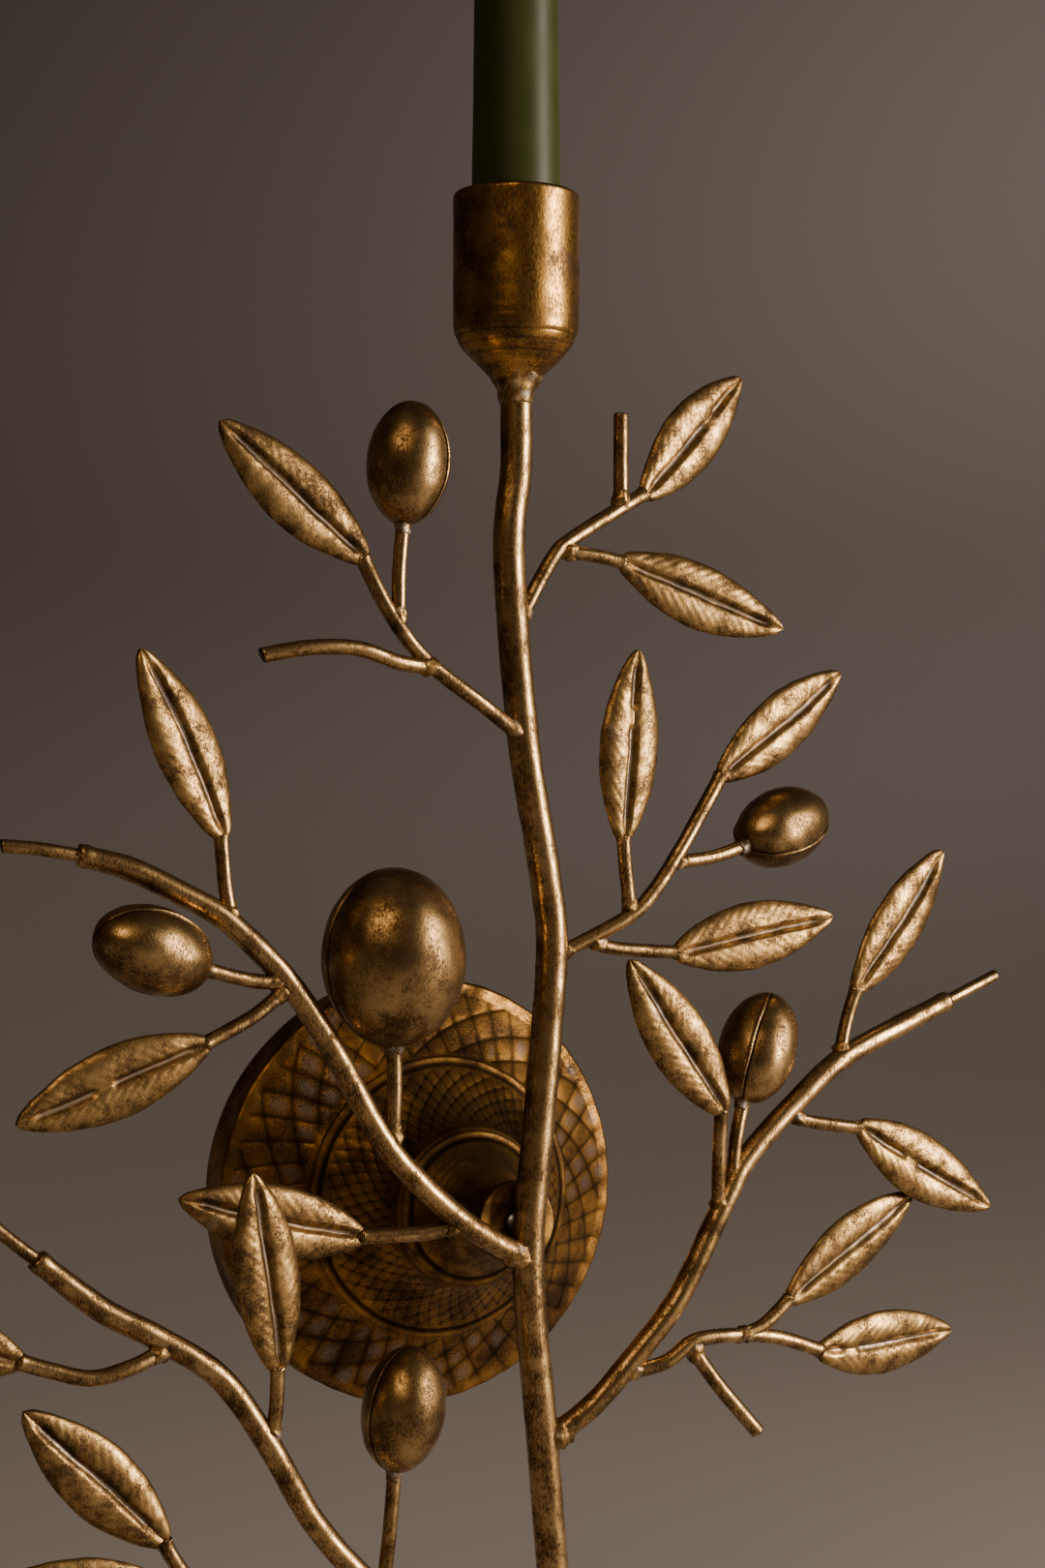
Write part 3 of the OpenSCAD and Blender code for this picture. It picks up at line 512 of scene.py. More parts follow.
# Rods: [piece, CAD node, diameter of the bar it is welded to, own diameter, end, route]. An
# end is cut off, drawn down where a thin tip is let in, or seated in a leaf or an olive.
RODS = [
    ["stem_bar", "main_stem", 0, stem_d, "cut", MAIN_STEM],
    ["upper_left_twig_bar", "upper_left_twig", stem_d, twig_d, "seated", UPPER_LEFT_TWIG],
    ["upper_left_stub_bar", "upper_left_stub", twig_d, twig_d, "cut", UPPER_LEFT_STUB],
    ["upper_left_stalk_bar", "upper_left_stalk", twig_d, stalk_d, "seated", UPPER_LEFT_STALK],
    ["upper_right_twig_bar", "upper_right_twig", stem_d, twig_d, "seated", UPPER_RIGHT_TWIG],
    ["upper_right_stub_bar", "upper_right_stub", twig_d, twig_d, "cut", UPPER_RIGHT_STUB],
    ["upper_right_stalk_bar", "upper_right_stalk", twig_d, stalk_d, "seated", UPPER_RIGHT_STALK],
    ["right_twig_bar", "right_twig", stem_d, twig_d, "seated", RIGHT_TWIG],
    ["right_stalk_up_bar", "right_twig_stalks", twig_d, stalk_d, "seated", RIGHT_STALK_UP],
    ["right_stalk_olive_bar", "right_twig_stalks", twig_d, stalk_d, "seated", RIGHT_STALK_OLIVE],
    ["right_stalk_side_bar", "right_twig_stalks", twig_d, stalk_d, "seated", RIGHT_STALK_SIDE],
    ["left_branch_bar", "left_branch", stem_d, branch_d, "drawn", LEFT_BRANCH],
    ["left_branch_tip_bar", "left_branch_tip", 0, tip_d, "cut", LEFT_TIP],
    ["left_stalk_up_bar", "left_branch_stalks", branch_d, stalk_d, "seated", LEFT_STALK_UP],
    ["left_stalk_olive_bar", "left_branch_stalks", branch_d, stalk_d, "seated",
     LEFT_STALK_OLIVE],
    ["left_stalk_low_bar", "left_branch_stalks", branch_d, stalk_d, "seated", LEFT_STALK_LOW],
    ["left_stalk_big_bar", "left_branch_stalks", branch_d, twig_d, "seated", LEFT_STALK_BIG],
    ["left_side_twig_bar", "left_side_twig", branch_d, twig_d, "seated", LEFT_SIDE_TWIG],
    ["right_branch_bar", "right_branch", stem_d, branch_d, "drawn", RIGHT_BRANCH],
    ["right_branch_tip_bar", "right_branch_tip", 0, tip_d, "cut", RIGHT_TIP],
    ["right_stalk_high_bar", "right_branch_stalks", branch_d, stalk_d, "seated",
     RIGHT_STALK_HIGH],
    ["right_stalk_out_bar", "right_branch_stalks", branch_d, stalk_d, "seated",
     RIGHT_STALK_OUT],
    ["right_stalk_in_bar", "right_branch_stalks", branch_d, stalk_d, "seated", RIGHT_STALK_IN],
    ["right_stalk_bud_bar", "right_branch_stalks", branch_d, stalk_d, "seated",
     RIGHT_STALK_BUD],
    ["right_side_twig_bar", "right_side_twig", branch_d, twig_d, "seated", RIGHT_SIDE_TWIG],
    ["right_side_stalk_bar", "right_side_stalk", twig_d, stalk_d, "seated", RIGHT_SIDE_STALK],
    ["right_side_stub_bar", "right_side_stub", twig_d, twig_d, "cut", RIGHT_SIDE_STUB],
    ["lower_branch_bar", "lower_branch", stem_d, branch_d, "drawn", LOWER_BRANCH],
    ["lower_branch_tip_bar", "lower_branch_tip", 0, tip_d, "cut", LOWER_TIP],
    ["lower_stalk_up_bar", "lower_branch_stalks", branch_d, stalk_d, "seated", LOWER_STALK_UP],
    ["lower_stalk_olive_bar", "lower_branch_stalks", branch_d, stalk_d, "seated",
     LOWER_STALK_OLIVE],
    ["lower_twig_bar", "lower_twig", branch_d, twig_d, "seated", LOWER_TWIG],
    ["foot_twig_bar", "foot_twig", stem_d, twig_d, "seated", FOOT_TWIG],
    ["foot_stalk_bar", "foot_stalk", twig_d, stalk_d, "seated", FOOT_STALK],
]


def unit(v):
    """Vectors of length one."""
    return v / np.maximum(np.linalg.norm(v, axis=-1, keepdims=True), 1e-12)


def smooth_route(points, step):
    """Even points along a smooth curve through a route, in mm, and their distances along it."""
    p = np.array(points, float) + [0, stem_plane, 0]
    p = np.vstack([p[:1], p, p[-1:]])
    t = np.linspace(0, 1, 24, endpoint=False)[:, None]
    runs = [(2 * b + (c - a) * t + (2 * a - 5 * b + 4 * c - d) * t ** 2
             + (3 * b - a - 3 * c + d) * t ** 3) / 2
            for a, b, c, d in zip(p[:-3], p[1:-2], p[2:-1], p[3:])]
    dense = np.vstack([*runs, p[-1:]])
    along = np.concatenate([[0], np.cumsum(np.linalg.norm(np.diff(dense, axis=0), axis=1))])
    even = np.linspace(0, along[-1], max(4, int(along[-1] / step) + 1))
    return np.stack([np.interp(even, along, dense[:, i]) for i in range(3)], axis=-1), even


def bar_rings(points, radii, sides):
    """Rings round a route, each square to it, in metres."""
    way = unit(np.gradient(points, axis=0))
    side = unit(np.cross(way, [0, 1, 0]))
    up = np.cross(side, way)
    a = turns(sides)[None, :, None]
    return MM * (points[:, None] + radii[..., None] * (side[:, None] * np.cos(a)
                                                       + up[:, None] * np.sin(a)))


# Rubbed gilding on hot-rolled bar: full gold where hands rubbed it, thin amber elsewhere, with
# brown lacquer between the grains. Real grain is finer, and is drawn 0.45 mm wide to show.
bar_gold = rubbed_gold("gilded_forged_bar", "A07C46", "D8B47C", 7, 0.45, 0.25, 2.5)

ring_pitch = 0.16        # distance between a bar's rings, as a share of its diameter
drawn_length = 15        # length of a branch's drawn end, in mm
for name, node, root_d, d, end, route in RODS:
    points, along = smooth_route(route, ring_pitch * d)
    if root_d:      # a welded bar starts inside its parent, well behind the parent's skin
        buried = 0.25 * root_d
        kept = along > buried
        points, along = points[kept], along[kept] - buried
    from_end = along[-1] - along
    sides = 40 if d > 7 else 30 if d > 5 else 22
    radii = np.full(len(points), d / 2)
    if end == "drawn":      # drawn down a little and closed on the bar let into it
        radii *= 1 - 0.15 * np.clip(1 - from_end / drawn_length, 0, 1)
        radii += 0.3 * np.exp(-((from_end - 2.5) / 1.3) ** 2)
    if end == "seated":
        radii += 0.08 * d * np.exp(-(from_end / 1.6) ** 2)
    # Close the end: a cut end is flat with a small eased edge, the others are rounded.
    ease = 0.1 * d if end == "cut" else 0.3 * d
    tail = ([(1.0, 0.86), (1.02, 0.45)] if end == "cut"
            else [(0.45, 0.9), (0.8, 0.62), (1.0, 0.3)])
    way = unit(np.gradient(points, axis=0))
    points = np.vstack([points, *[points[-1:] + way[-1:] * ease * h for h, _ in tail]])
    points[-len(tail) - 1:] -= way[-1] * ease      # the end stays at the route's length
    radii = np.concatenate([radii, [radii[-1] * s for _, s in tail]])
    rings = bar_rings(points, np.repeat(radii[:, None], sides, axis=1), sides)
    rings = hand_wobble(hand_wobble(rings, 6 * MM, 0.014 * d * MM), 1.7 * MM, 0.007 * d * MM)
    grime_and_shade = np.zeros(len(points))
    if end == "cut":     # shears leave the cut face tilted, and the gilding misses it
        across_face = rings[-2:] - rings[-2:].mean(axis=1, keepdims=True)
        rings[-2:] += 0.25 * across_face[..., 2:] * way[-1]
        grime_and_shade[-2:] = 1.0
    bar = build(name, [skin(rings)], bar_gold,
                {"grime_and_shade": np.concatenate([np.repeat(grime_and_shade, sides), [0, grime_and_shade[-1]]])})
    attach(bar, "holder")
    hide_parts(node)

# ---- Weld beads ----
# Where one bar meets the next a small bead of weld runs round the root, filed a little and
# gilded over. It stays lumpy, and shows grey where the gilding has rubbed off.
bead_gold = rubbed_gold("gilded_weld_bead", "8A6834", "C8A266", 3, 0.4, 0.34)


def bead(centre, way, long_r, wide_r, lump):
    """A lumpy round of weld about centre in mm: long_r along way and wide_r across it."""
    way = unit(np.array(way, float))
    side = unit(np.cross(way, [0.13, 0.98, 0.11]))
    up = np.cross(side, way)
    tilt = np.linspace(0.12, math.pi - 0.12, 15)
    a = turns(22)
    ring = centre + (-way * np.cos(tilt)[:, None, None] * long_r
                     + (side * np.cos(a)[None, :, None] + up * np.sin(a)[None, :, None])
                     * np.sin(tilt)[:, None, None] * wide_r)
    return hand_wobble(hand_wobble(ring * MM, 1.6 * MM, lump * MM), 0.7 * MM, 0.3 * lump * MM)


for name, node, root_d, d, end, route in RODS:
    if not root_d:
        continue
    points, along = smooth_route(route, 0.4)
    at = np.searchsorted(along, 0.42 * root_d + 0.1 * d)
    way = unit(points[at + 2] - points[at - 1])
    rings = bead(points[at], way, 0.92 * d, 0.63 * d, 0.2 * d)
    shell = skin(rings)
    grey = np.array([0.1 + 1.1 * noise.noise(Vector(p) / (2.2 * MM)) for p in shell[0]])
    weld = build(name.replace("_bar", "_weld"), [shell], bead_gold,
                 {"bare_and_highlight": np.clip(grey, 0, 1)})
    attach(weld, "holder")

# ---- Olive leaves ----
# Cast in two-sided moulds as solid leaves 49 mm long: two crowned halves either side of a
# deep midrib groove, shallow slanting veins and thick rounded edges. Each is brazed on the
# end of its twig or stalk.
leaf_l, leaf_w, leaf_t, leaf_root = 48, 17.2, 4.4, 1.5
LEAVES = [
    ["upper_left_leaf", UPPER_LEFT_TWIG, 140, 0, 5],
    ["upper_right_leaf", UPPER_RIGHT_TWIG, 45, -10, 5],
    ["upper_side_leaf", UPPER_RIGHT_STALK, -20, 5, -5],
    ["right_end_leaf", RIGHT_TWIG, 35, -5, 10],
    ["right_upright_leaf", RIGHT_STALK_UP, 85, 0, 5],
    ["right_side_leaf", RIGHT_STALK_SIDE, 10, 0, -5],
    ["left_upright_leaf", LEFT_STALK_UP, 115, 0, 15],
    ["left_low_leaf", LEFT_STALK_LOW, 200, 0, -5],
    ["left_inner_leaf", LEFT_SIDE_TWIG, 165, 0, 5],
    ["branch_high_leaf", RIGHT_STALK_HIGH, 50, -5, 10],
    ["branch_out_leaf", RIGHT_STALK_OUT, -30, 0, -5],
    ["branch_in_leaf", RIGHT_STALK_IN, 125, 0, 0],
    ["branch_side_leaf", RIGHT_SIDE_STALK, 30, -5, 10],
    ["branch_low_leaf", RIGHT_SIDE_TWIG, 0, -10, 5],
    ["lower_upright_leaf", LOWER_STALK_UP, 100, 5, 10],
    ["lower_end_leaf", LOWER_TWIG, 160, 0, -5],
    ["foot_end_leaf", FOOT_TWIG, 135, 0, 0],
    ["foot_side_leaf", FOOT_STALK, 170, 0, -10],
]


# Cast leaves are gilded more thinly than the bars: amber and grey-brown in the hollows, pale
# gold rubbed on the crowns and edges.
leaf_gold = rubbed_gold("gilded_cast_leaf", "8A6838", "C8A468", 5, 0.45, 0.33, 1.3)

groove_half, floor_half = 1.1, 0.22      # half widths of the midrib groove and its floor, in mm
vein_pitch = 2.9         # veins lie this far apart along the midrib, in mm
half = np.sin(np.linspace(0, 1, 24) * math.pi / 2) ** 1.45
front_u = np.concatenate([-half[::-1], half[1:]])
back_u = front_u[::-1][1:-1]
for index, (name, route, heading, lean, roll) in enumerate(LEAVES):
    along = heading_axis(heading, lean)
    across = unit(np.cross([0, -1, 0], along))
    ahead = np.cross(along, across)
    c, s = math.cos(math.radians(roll)), math.sin(math.radians(roll))
    side, rise = across * c + ahead * s, ahead * c - across * s
    t = np.concatenate([[0.0, 0.004, 0.010], np.linspace(0.02, 0.97, 90),
                        [0.978, 0.985, 0.991, 0.996, 0.999, 1.0]])
    even_w = 0.22 * (1 - t) + 0.13 * t
    width = even_w + (1 - even_w) * np.sin(math.pi * t ** 0.94) ** 0.85
    width *= np.sqrt(np.clip(1 - np.clip(1 - t / 0.02, 0, 1) ** 2, 0.03, 1)
                     * np.clip(1 - np.clip(1 - (1 - t) / 0.035, 0, 1) ** 2, 0.03, 1))
    width, t = width[:, None], t[:, None]
    u = front_u[None, :]
    edge = u * width * leaf_w / 2
    # The groove's line wanders a little from the leaf's middle.
    wander = 0.25 * np.sin(7 * t + index * 2.1)
    x = np.abs(edge - wander)
    crown = np.sqrt(np.clip(1 - ((np.abs(u) - 0.42) / 0.59) ** 2, 0, 1))
    fade = np.clip((t - 0.04) / 0.07, 0, 1) * np.clip((0.94 - t) / 0.07, 0, 1)
    broken = np.clip(1.4 - 2.2 * np.exp(-((t - 0.35 - 0.3 * math.sin(index * 1.9)) / 0.05) ** 2)
                     * (index % 3 == 1), 0.1, 1)
    in_groove = np.clip(1.35 - x / groove_half, 0, 1) * fade * broken
    in_floor = np.clip((floor_half + 0.4 - x) / 0.4, 0, 1) * fade * broken
    slant = (t * leaf_l - 1.15 * x) / vein_pitch + 0.13 * index
    veins = (0.5 + 0.5 * np.cos(math.tau * slant)) ** 4 \
        * np.clip(x / 1.8, 0, 1) * np.clip((0.97 - np.abs(u)) / 0.3, 0, 1) * fade
    thick = leaf_t * (0.35 + 0.65 * width)
    z_front = thick * 0.55 * crown - 0.85 * in_groove * np.clip(width * 2.2, 0, 1) - 0.09 * veins
    x_back = np.abs(back_u)[None, :] * width * leaf_w / 2
    z_back = -thick * 0.42 * np.clip(1 - np.abs(back_u)[None, :] ** 2.4, 0, 1) ** 0.8 \
        + 0.35 * np.exp(-(x_back / groove_half) ** 2) * fade
    u_all = np.concatenate([front_u, back_u])[None, :]
    z_all = np.concatenate([z_front, z_back], axis=1)
    foot = np.array(route[-1], float) + [0, stem_plane, 0]
    arch = 0.5 * math.sin(index * 2.4) * np.sin(math.pi * t)
    sway = 0.45 * math.sin(index * 1.7 + 1) * np.sin(math.pi * t ** 1.2)
    rings = (foot + along * (t * leaf_l - leaf_root)[..., None]
             + side * (u_all * width * leaf_w / 2 + sway)[..., None]
             + rise * (z_all + arch)[..., None]) * MM
    rings = hand_wobble(hand_wobble(rings, 6 * MM, 0.22 * MM), 1.6 * MM, 0.05 * MM)
    shell = skin(rings)
    empty = np.zeros(z_back.shape)
    blotch = np.array([noise.noise(Vector(p) / (7 * MM)) for p in shell[0]])
    # The walls of the midrib groove and the veins are darkened towards umber, and the groove's floor
    # turns lead grey.
    border = np.clip(in_groove - in_floor, 0, 1)
    bare_and_highlight = np.concatenate([np.concatenate([in_floor, empty], axis=1).ravel(), [0, 0]])
    grime_and_shade = np.concatenate([0.55 * border + 0.3 * veins * (1 - in_floor), empty], axis=1)
    leaf = build(name + "_cast", [shell], leaf_gold, {
        "bare_and_highlight": np.clip(0.72 * bare_and_highlight + np.clip(blotch - 0.35, 0, 1), 0, 1),
        "grime_and_shade": np.concatenate([grime_and_shade.ravel(), [0, 0]])})
    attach(leaf, "holder")
    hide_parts(name)

# ---- Olives ----
# Each olive is two pressed half shells, brazed edge to edge along a seam that runs from stalk
# to tip, where one half stands slightly over the other. A collar of grey solder fixes it on
# its stalk.
OLIVES = [
    ["upper_olive", UPPER_LEFT_STALK, 85, 0, -45, 30, 20.2, stalk_d],
    ["right_olive", RIGHT_STALK_OLIVE, 20, -15, -60, 30, 20.2, stalk_d],
    ["left_olive", LEFT_STALK_OLIVE, 160, 10, 150, 30, 20.2, stalk_d],
    ["big_olive", LEFT_STALK_BIG, 90, 0, 0, 43, 34.6, twig_d],
    ["branch_olive", RIGHT_STALK_BUD, 65, -10, 30, 30, 20.2, stalk_d],
    ["lower_olive", LOWER_STALK_OLIVE, 80, 0, 15, 30, 20.2, stalk_d],
]
olive_root = 1.2
# Pressed half shells rubbed smooth: the gilding lies evenly, with fine bare pits, and clouds
# of amber show where it is thin.
olive_gold = rubbed_gold("gilded_pressed_olive", "7E6034", "CDAA72", 9, 0.4, 0.26, 1.8)
collar_gold = rubbed_gold("grey_solder_collar", "6A5A48", "A89474", 1.6, 0.4, 0.38)

n_around = 150
for name, route, heading, lean, seam_turn, length, d, on_d in OLIVES:
    along = heading_axis(heading, lean)
    way = (Matrix.Rotation(math.atan2(along[1], along[0]), 3, "Z")
           @ Matrix.Rotation(math.acos(along[2]), 3, "Y")
           @ Matrix.Rotation(math.radians(seam_turn), 3, "Z"))
    way = np.array(way)
    foot = np.array(route[-1], float) + [0, stem_plane, 0]
    centre = foot + along * (length / 2 - olive_root)
    tilt = np.linspace(0.03, math.pi - 0.03, 72)[:, None]
    base = turns(n_around)[None, :]
    turn = base - 0.42 * np.sin(2 * base)       # points crowd along the two seams
    r = d / 2 * np.sin(tilt)
    over = r * np.sin(turn)       # mm past the seam's plane
    seam = (0.07 * np.tanh(over / 0.25) + 0.26 * np.exp(-((over - 0.45) / 0.4) ** 2)
            - 0.3 * np.exp(-((over + 0.2) / 0.22) ** 2)) * np.sin(tilt) ** 0.5
    r = r + seam
    local = np.stack([r * np.cos(turn), r * np.sin(turn),
                      np.broadcast_to(-length / 2 * np.cos(tilt), r.shape)], axis=-1)
    rings = (centre + local @ way.T) * MM
    rings = hand_wobble(hand_wobble(rings, 9 * MM, 0.25 * MM), 3 * MM, 0.06 * MM)
    shell = skin(rings)
    # Painted shade darkens the groove beside the seam, and a painted highlight lightens the raised
    # edge of the overlapping half.
    seam_painted_shade = np.exp(-((over + 0.2) / 0.3) ** 2) * np.ones_like(r)
    seam_painted_highlight = np.exp(-((over - 0.55) / 0.35) ** 2) * 0.3 * np.ones_like(r)
    clouds = np.array([noise.noise(Vector(p) / (7 * MM)) for p in shell[0]])
    olive = build(name + "_shell", [shell], olive_gold,
                  {"grime_and_shade": np.concatenate([seam_painted_shade.ravel(), [0, 0]]),
                   "bare_and_highlight": np.concatenate([seam_painted_highlight.ravel(), [0, 0]])
                   + np.clip(clouds - 0.3, 0, 1)})
    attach(olive, "holder")
    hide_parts(name)

    # The collar is a lumpy trumpet of solder from the stalk out on to the olive's foot.
    run = np.linspace(0, 1, 12)
    reach = -3.2 + 5.2 * run
    flared = on_d / 2 * 1.02 + (0.15 * d) * run ** 2.4
    collar = bar_rings(foot + along * reach[:, None], np.repeat(flared[:, None], 28, axis=1), 28)
    collar = hand_wobble(hand_wobble(collar, 1.8 * MM, 0.35 * MM), 0.8 * MM, 0.12 * MM)
    shell = skin(collar)
    grey = np.array([0.4 + noise.noise(Vector(p) / (1.5 * MM)) for p in shell[0]])
    solder = build(name + "_collar", [shell], collar_gold, {"bare_and_highlight": np.clip(grey, 0, 1)})
    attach(solder, "holder")

# ---- Candle cup ----
# Turned from 32 mm steel bar and bored 22.6 mm for the candle: a straight cup with a rounded
# lip that draws in below to a foot just wider than the stem, and is welded on the stem's end.
cup_axis = np.array([-2.0, stem_plane])
cup_foot_z, cup_h, cup_r, bore_r, seat_depth = 206.0, 48.5, 15.6, 11.3, 30.0

cup_gold = rubbed_gold("gilded_turned_cup", "8A602A", "D6A557", 8, 0.42, 0.25, 3.0)


def stood(profile, n, foot_z):
    """Rings of a turned profile [radius, height] in mm that stands on the stem's axis."""
    profile = np.asarray(profile, float)
    a = turns(n)[None, :]
    r, h = profile[:, :1], profile[:, 1:]
    return MM * np.stack([cup_axis[0] + r * np.cos(a), cup_axis[1] + r * np.sin(a),
                          np.broadcast_to(foot_z + h, (len(profile), n))], axis=-1)


foot_run = np.array([[4.4, 0], [5.4, 2.2], [8.0, 5], [11.2, 8], [13.9, 11], [15.25, 14], [15.6, 16.5]])
foot_h = np.linspace(0, 16.5, 56)
profile = np.vstack([
    [[0.5, 0.0]],
    np.stack([np.interp(foot_h, foot_run[:, 1], foot_run[:, 0]), foot_h], axis=-1),
    np.stack([np.full(44, cup_r), np.linspace(17.2, cup_h - 1.6, 44)], axis=-1),
    corner(cup_r - 1.2, cup_h - 1.2, 1.2, 0, 100, 8),
    [[13.2, cup_h], [12.4, cup_h - 0.05]],
    corner(bore_r + 1, cup_h - 1.0, 0.95, 90, 180, 5),
    [[bore_r, cup_h - 6], [bore_r, cup_h - 18], [bore_r, cup_h - seat_depth + 0.4],
     [bore_r - 0.4, cup_h - seat_depth], [0.5, cup_h - seat_depth]]])
# Faint grooves that the tool left where the cup draws in.
ring_h = profile[:, 1:] - np.array([17.0, 13.2, 11.0, 8.6])
tool_marks = np.exp(-(ring_h / 0.35) ** 2).sum(axis=1) * (profile[:, 0] > bore_r * 0.5) \
    * (profile[:, 1] < 18.3)
profile[:, 0] -= 0.14 * tool_marks
rings = hand_wobble(hand_wobble(stood(profile, 144, cup_foot_z), 8 * MM, 0.14 * MM), 2 * MM,
                    0.03 * MM)
shell = skin(rings)
# The tool-mark grooves are darkened, and the inside of the bore is darkened as painted shade.
tool_marks_and_bore_shade = 0.5 * tool_marks + (profile[:, 0] < bore_r + 0.2) * (profile[:, 1] > 17)
cup = build("turned_candle_cup", [shell], cup_gold,
            {"grime_and_shade": np.concatenate([np.repeat(tool_marks_and_bore_shade.clip(0, 1), 144), [1, 1]])})
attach(cup, "holder")
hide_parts("candle_cup")

# The weld round the cup's foot, flared from the stem to the cup and left lumpy and grey.
run = np.linspace(0, 1, 14)
profile = np.stack([4.1 + 2.9 * run ** 1.6, -3.2 + 7.4 * run], axis=-1)
foot_weld = hand_wobble(hand_wobble(stood(profile, 36, cup_foot_z), 2.4 * MM, 0.5 * MM), 0.9 * MM,
                        0.12 * MM)
shell = skin(foot_weld)
grey = np.array([0.3 + noise.noise(Vector(p) / (2 * MM)) for p in shell[0]])
foot_weld = build("cup_foot_weld", [shell], bead_gold, {"bare_and_highlight": np.clip(grey, 0, 1)})
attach(foot_weld, "holder")

# ---- Candle ----
# A dipped taper of olive green paraffin wax, 250 mm long, dyed through, with the slight swells
# and drawn skin that dipping leaves. Its cotton wick is plaited from three strands and
# stands 9 mm out of the nose.
candle_foot_z, candle_l, candle_r, candle_top_r = 224.6, 250.0, 11.0, 8.5
nose_h, wick_in, wick_out, strand_r = 9.0, 12.0, 9.0, 0.52
wax_green, wax_deep, wick_cotton, wick_shade = "3A4214", "262E0C", "D8CDB4", "9A8E74"

# Dyed paraffin wax, drawn smooth: a satin skin with light sinking a few millimetres in, faint
# cloudy bloom, and dipping marks round it.
wax, tree = new_material("dyed_paraffin_wax")
where = add(tree, "TexCoord").outputs["Object"]
clouds = add(tree, "TexNoise", {"Vector": where, "Scale": 1 / (11 * MM), "Detail": 3.0}
             ).outputs["Fac"]
skin_grain = add(tree, "TexNoise", {"Vector": where, "Scale": 1 / (0.7 * MM), "Detail": 3.0}
                 ).outputs["Fac"]
tone = add(tree, "Mix", {"Factor": clouds, "A": linear(wax_deep), "B": linear(wax_green)},
           data_type="RGBA").outputs["Result"]
satin = add(tree, "MapRange", {"Value": clouds, "To Min": 0.4, "To Max": 0.54}
            ).outputs["Result"]
grain = add(tree, "Bump", {"Height": skin_grain, "Strength": 0.12, "Distance": 0.06 * MM})
surface = add(tree, "BsdfPrincipled", {
    "Base Color": tone, "Roughness": satin, "IOR": 1.44, "Specular IOR Level": 0.32,
    "Subsurface Weight": 0.3,
    "Subsurface Radius": (1.0, 0.9, 0.35), "Subsurface Scale": 2.5 * MM,
    "Normal": grain.outputs["Normal"]})
add(tree, "OutputMaterial", {"Surface": surface.outputs["BSDF"]})

shoulder = candle_l - nose_h
body_h = np.linspace(0.5, shoulder, 130)
body_r = np.where(body_h < seat_depth, candle_r,
                  candle_r + (candle_top_r - candle_r) * (body_h - seat_depth)
                  / (shoulder - seat_depth))
swell = 0.07 * np.sin(body_h / 23) - 0.05 * np.sin(body_h / 8.5 + 1)
body_r = body_r - 0.1 + np.where(body_h > seat_depth, swell, 0)
nose_a = np.linspace(0.08, math.pi / 2, 14)
nose = np.stack([1.1 + (candle_top_r - 1.1) * np.cos(nose_a) ** 0.9,
                 shoulder + nose_h * np.sin(nose_a)], axis=-1)
profile = np.vstack([[[0.5, 0.0], [candle_r - 0.7, 0.0]],
                     np.stack([body_r, body_h], axis=-1), nose,
                     [[1.02, candle_l - 0.6], [1.0, candle_l - 3]]])
rings = hand_wobble(stood(profile, 96, candle_foot_z), 16 * MM, 0.09 * MM)
candle = build("dipped_taper", [skin(rings)], wax)
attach(candle, "candle")
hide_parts("candle_wax")

# Plaited cotton: three strands wind round each other, matt and off-white, with darker fibres at
# random.
cotton, tree = new_material("plaited_cotton")
where = add(tree, "TexCoord").outputs["Object"]
fibres = add(tree, "TexNoise", {"Vector": where, "Scale": 1 / (0.25 * MM), "Detail": 4.0}
             ).outputs["Fac"]
tone = add(tree, "Mix", {"Factor": fibres, "A": linear(wick_shade), "B": linear(wick_cotton)},
           data_type="RGBA").outputs["Result"]
fuzz = add(tree, "Bump", {"Height": fibres, "Strength": 0.6, "Distance": 0.1 * MM})
surface = add(tree, "BsdfPrincipled", {"Base Color": tone, "Roughness": 0.85,
                                       "Sheen Weight": 0.3, "Normal": fuzz.outputs["Normal"]})
add(tree, "OutputMaterial", {"Surface": surface.outputs["BSDF"]})

lay, strand_offset = 3.2, 0.46       # one turn of the plait, and a strand's distance from its axis
h = np.arange(0, wick_in + wick_out, 0.2)
shells = []
for strand in range(3):
    a = h / lay * math.tau + strand * math.tau / 3
    path = np.stack([cup_axis[0] + strand_offset * np.cos(a),
                     cup_axis[1] + strand_offset * np.sin(a),
                     candle_foot_z + candle_l - wick_in + h], axis=-1)
    way = unit(np.gradient(path, axis=0))
    side = unit(np.cross(way, [0.0, 1.0, 0.0]))
    up = np.cross(side, way)
    b = turns(12)[None, :, None]
    thin = np.where(h > h[-1] - 0.5, 0.7, 1.0)[:, None, None] * strand_r
    shells.append(skin(MM * (path[:, None] + thin * (side[:, None] * np.cos(b)
                                                     + up[:, None] * np.sin(b)))))
wick = build("plaited_wick", shells, cotton)
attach(wick, "candle")
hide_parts("candle_wick")

# ---- Studio: floor, lights and camera ----
# A pale matt painted floor sweeps up in one curve into a low round wall, so no edge shows. A
# tall soft lamp stands at the right, a weak warm one at the upper left, a third high up
# washes the wall, and the open top lets in dim even light.
floor_z = cad_box[0][2] / MM
floor_pale, wall_taupe = "A49E9B", "766B66"
paint, tree = new_material("matt_pale_floor_paint")
where = add(tree, "TexCoord").outputs["Object"]
height = add(tree, "SeparateXYZ", {"Vector": where}).outputs["Z"]
rise = add(tree, "MapRange", {"Value": height, "From Min": floor_z * MM, "From Max": 0.4},
           interpolation_type="SMOOTHSTEP").outputs["Result"]
tone = add(tree, "Mix", {"Factor": rise, "A": linear(floor_pale), "B": linear(wall_taupe)},
           data_type="RGBA").outputs["Result"]
surface = add(tree, "BsdfPrincipled", {"Base Color": tone, "Roughness": 0.8})
add(tree, "OutputMaterial", {"Surface": surface.outputs["BSDF"]})
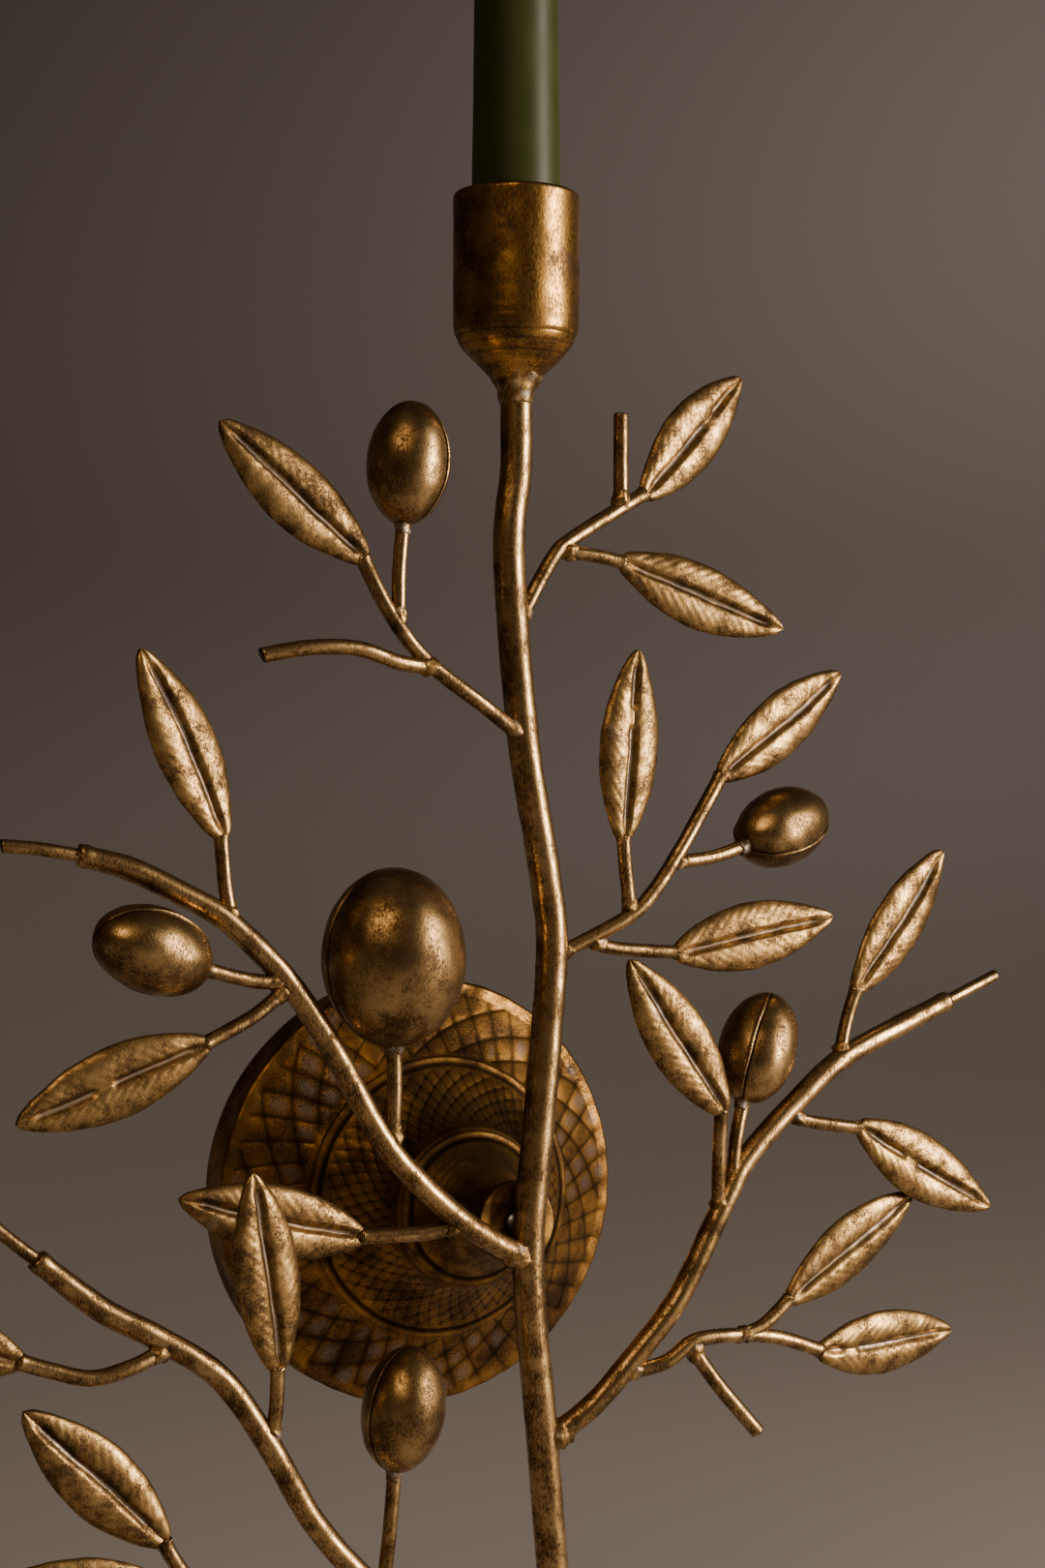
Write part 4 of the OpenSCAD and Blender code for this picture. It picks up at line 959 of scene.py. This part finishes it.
profile = np.vstack([[[1.0, 0.0], [300, 0.0], [600, 0.0]],
                     corner(600, 2600, 2600, -87, 0, 20), [[3200, 3800]]])
sweep = np.stack([profile[:, :1] * np.cos(turns(96)), profile[:, :1] * np.sin(turns(96)),
                  np.broadcast_to(floor_z + profile[:, 1:], (len(profile), 96))], axis=-1) * MM
points, faces = skin(sweep)
floor = build("studio_floor", [(points, [f for f in faces if len(points) - 1 not in f])], paint)
for polygon in floor.data.polygons:
    polygon.flip()


def soft_lamp(name, place, aim, size, watts, colour, spread):
    """A soft rectangular lamp at place that shines at aim, in metres. spread is in degrees."""
    data = bpy.data.lights.new(name, "AREA")
    data.shape, data.size, data.size_y = "RECTANGLE", *size
    data.energy, data.color, data.spread = watts, linear(colour)[:3], math.radians(spread)
    lamp = bpy.data.objects.new(name, data)
    lamp.location = place
    lamp.rotation_euler = (Vector(aim) - Vector(place)).to_track_quat("-Z", "Y").to_euler()
    bpy.context.scene.collection.objects.link(lamp)


spray_middle = (0.0, -0.06, 0.08)
soft_lamp("tall_soft_lamp", (0.95, -0.88, 0.3), (0.0, -0.06, 0.2), (0.26, 0.9), 21, "FFEEDD", 150)
soft_lamp("wall_wash_lamp", (1.5, 0.6, 1.9), (1.9, 2.4, 0.6), (1.0, 1.0), 9, "F4EEE8", 100)
soft_lamp("warm_fill_lamp", (-0.95, -1.1, 1.25), spray_middle, (0.9, 0.9), 3.0, "FFD8A8", 120)
world = bpy.data.worlds.new("dim_studio_air")
world.use_nodes = True
world.node_tree.nodes["Background"].inputs["Color"].default_value = linear("C9C4C0")
world.node_tree.nodes["Background"].inputs["Strength"].default_value = 0.07
bpy.context.scene.world = world

camera = bpy.data.objects.new("camera", bpy.data.cameras.new("camera"))
camera.data.lens, camera.data.sensor_width = 60, 36
camera.location = (-0.2843, -0.6534, 0.1090)
camera.rotation_euler = Euler((math.radians(90), 0, math.radians(-26.1)))
bpy.context.scene.collection.objects.link(camera)
bpy.context.scene.camera = camera
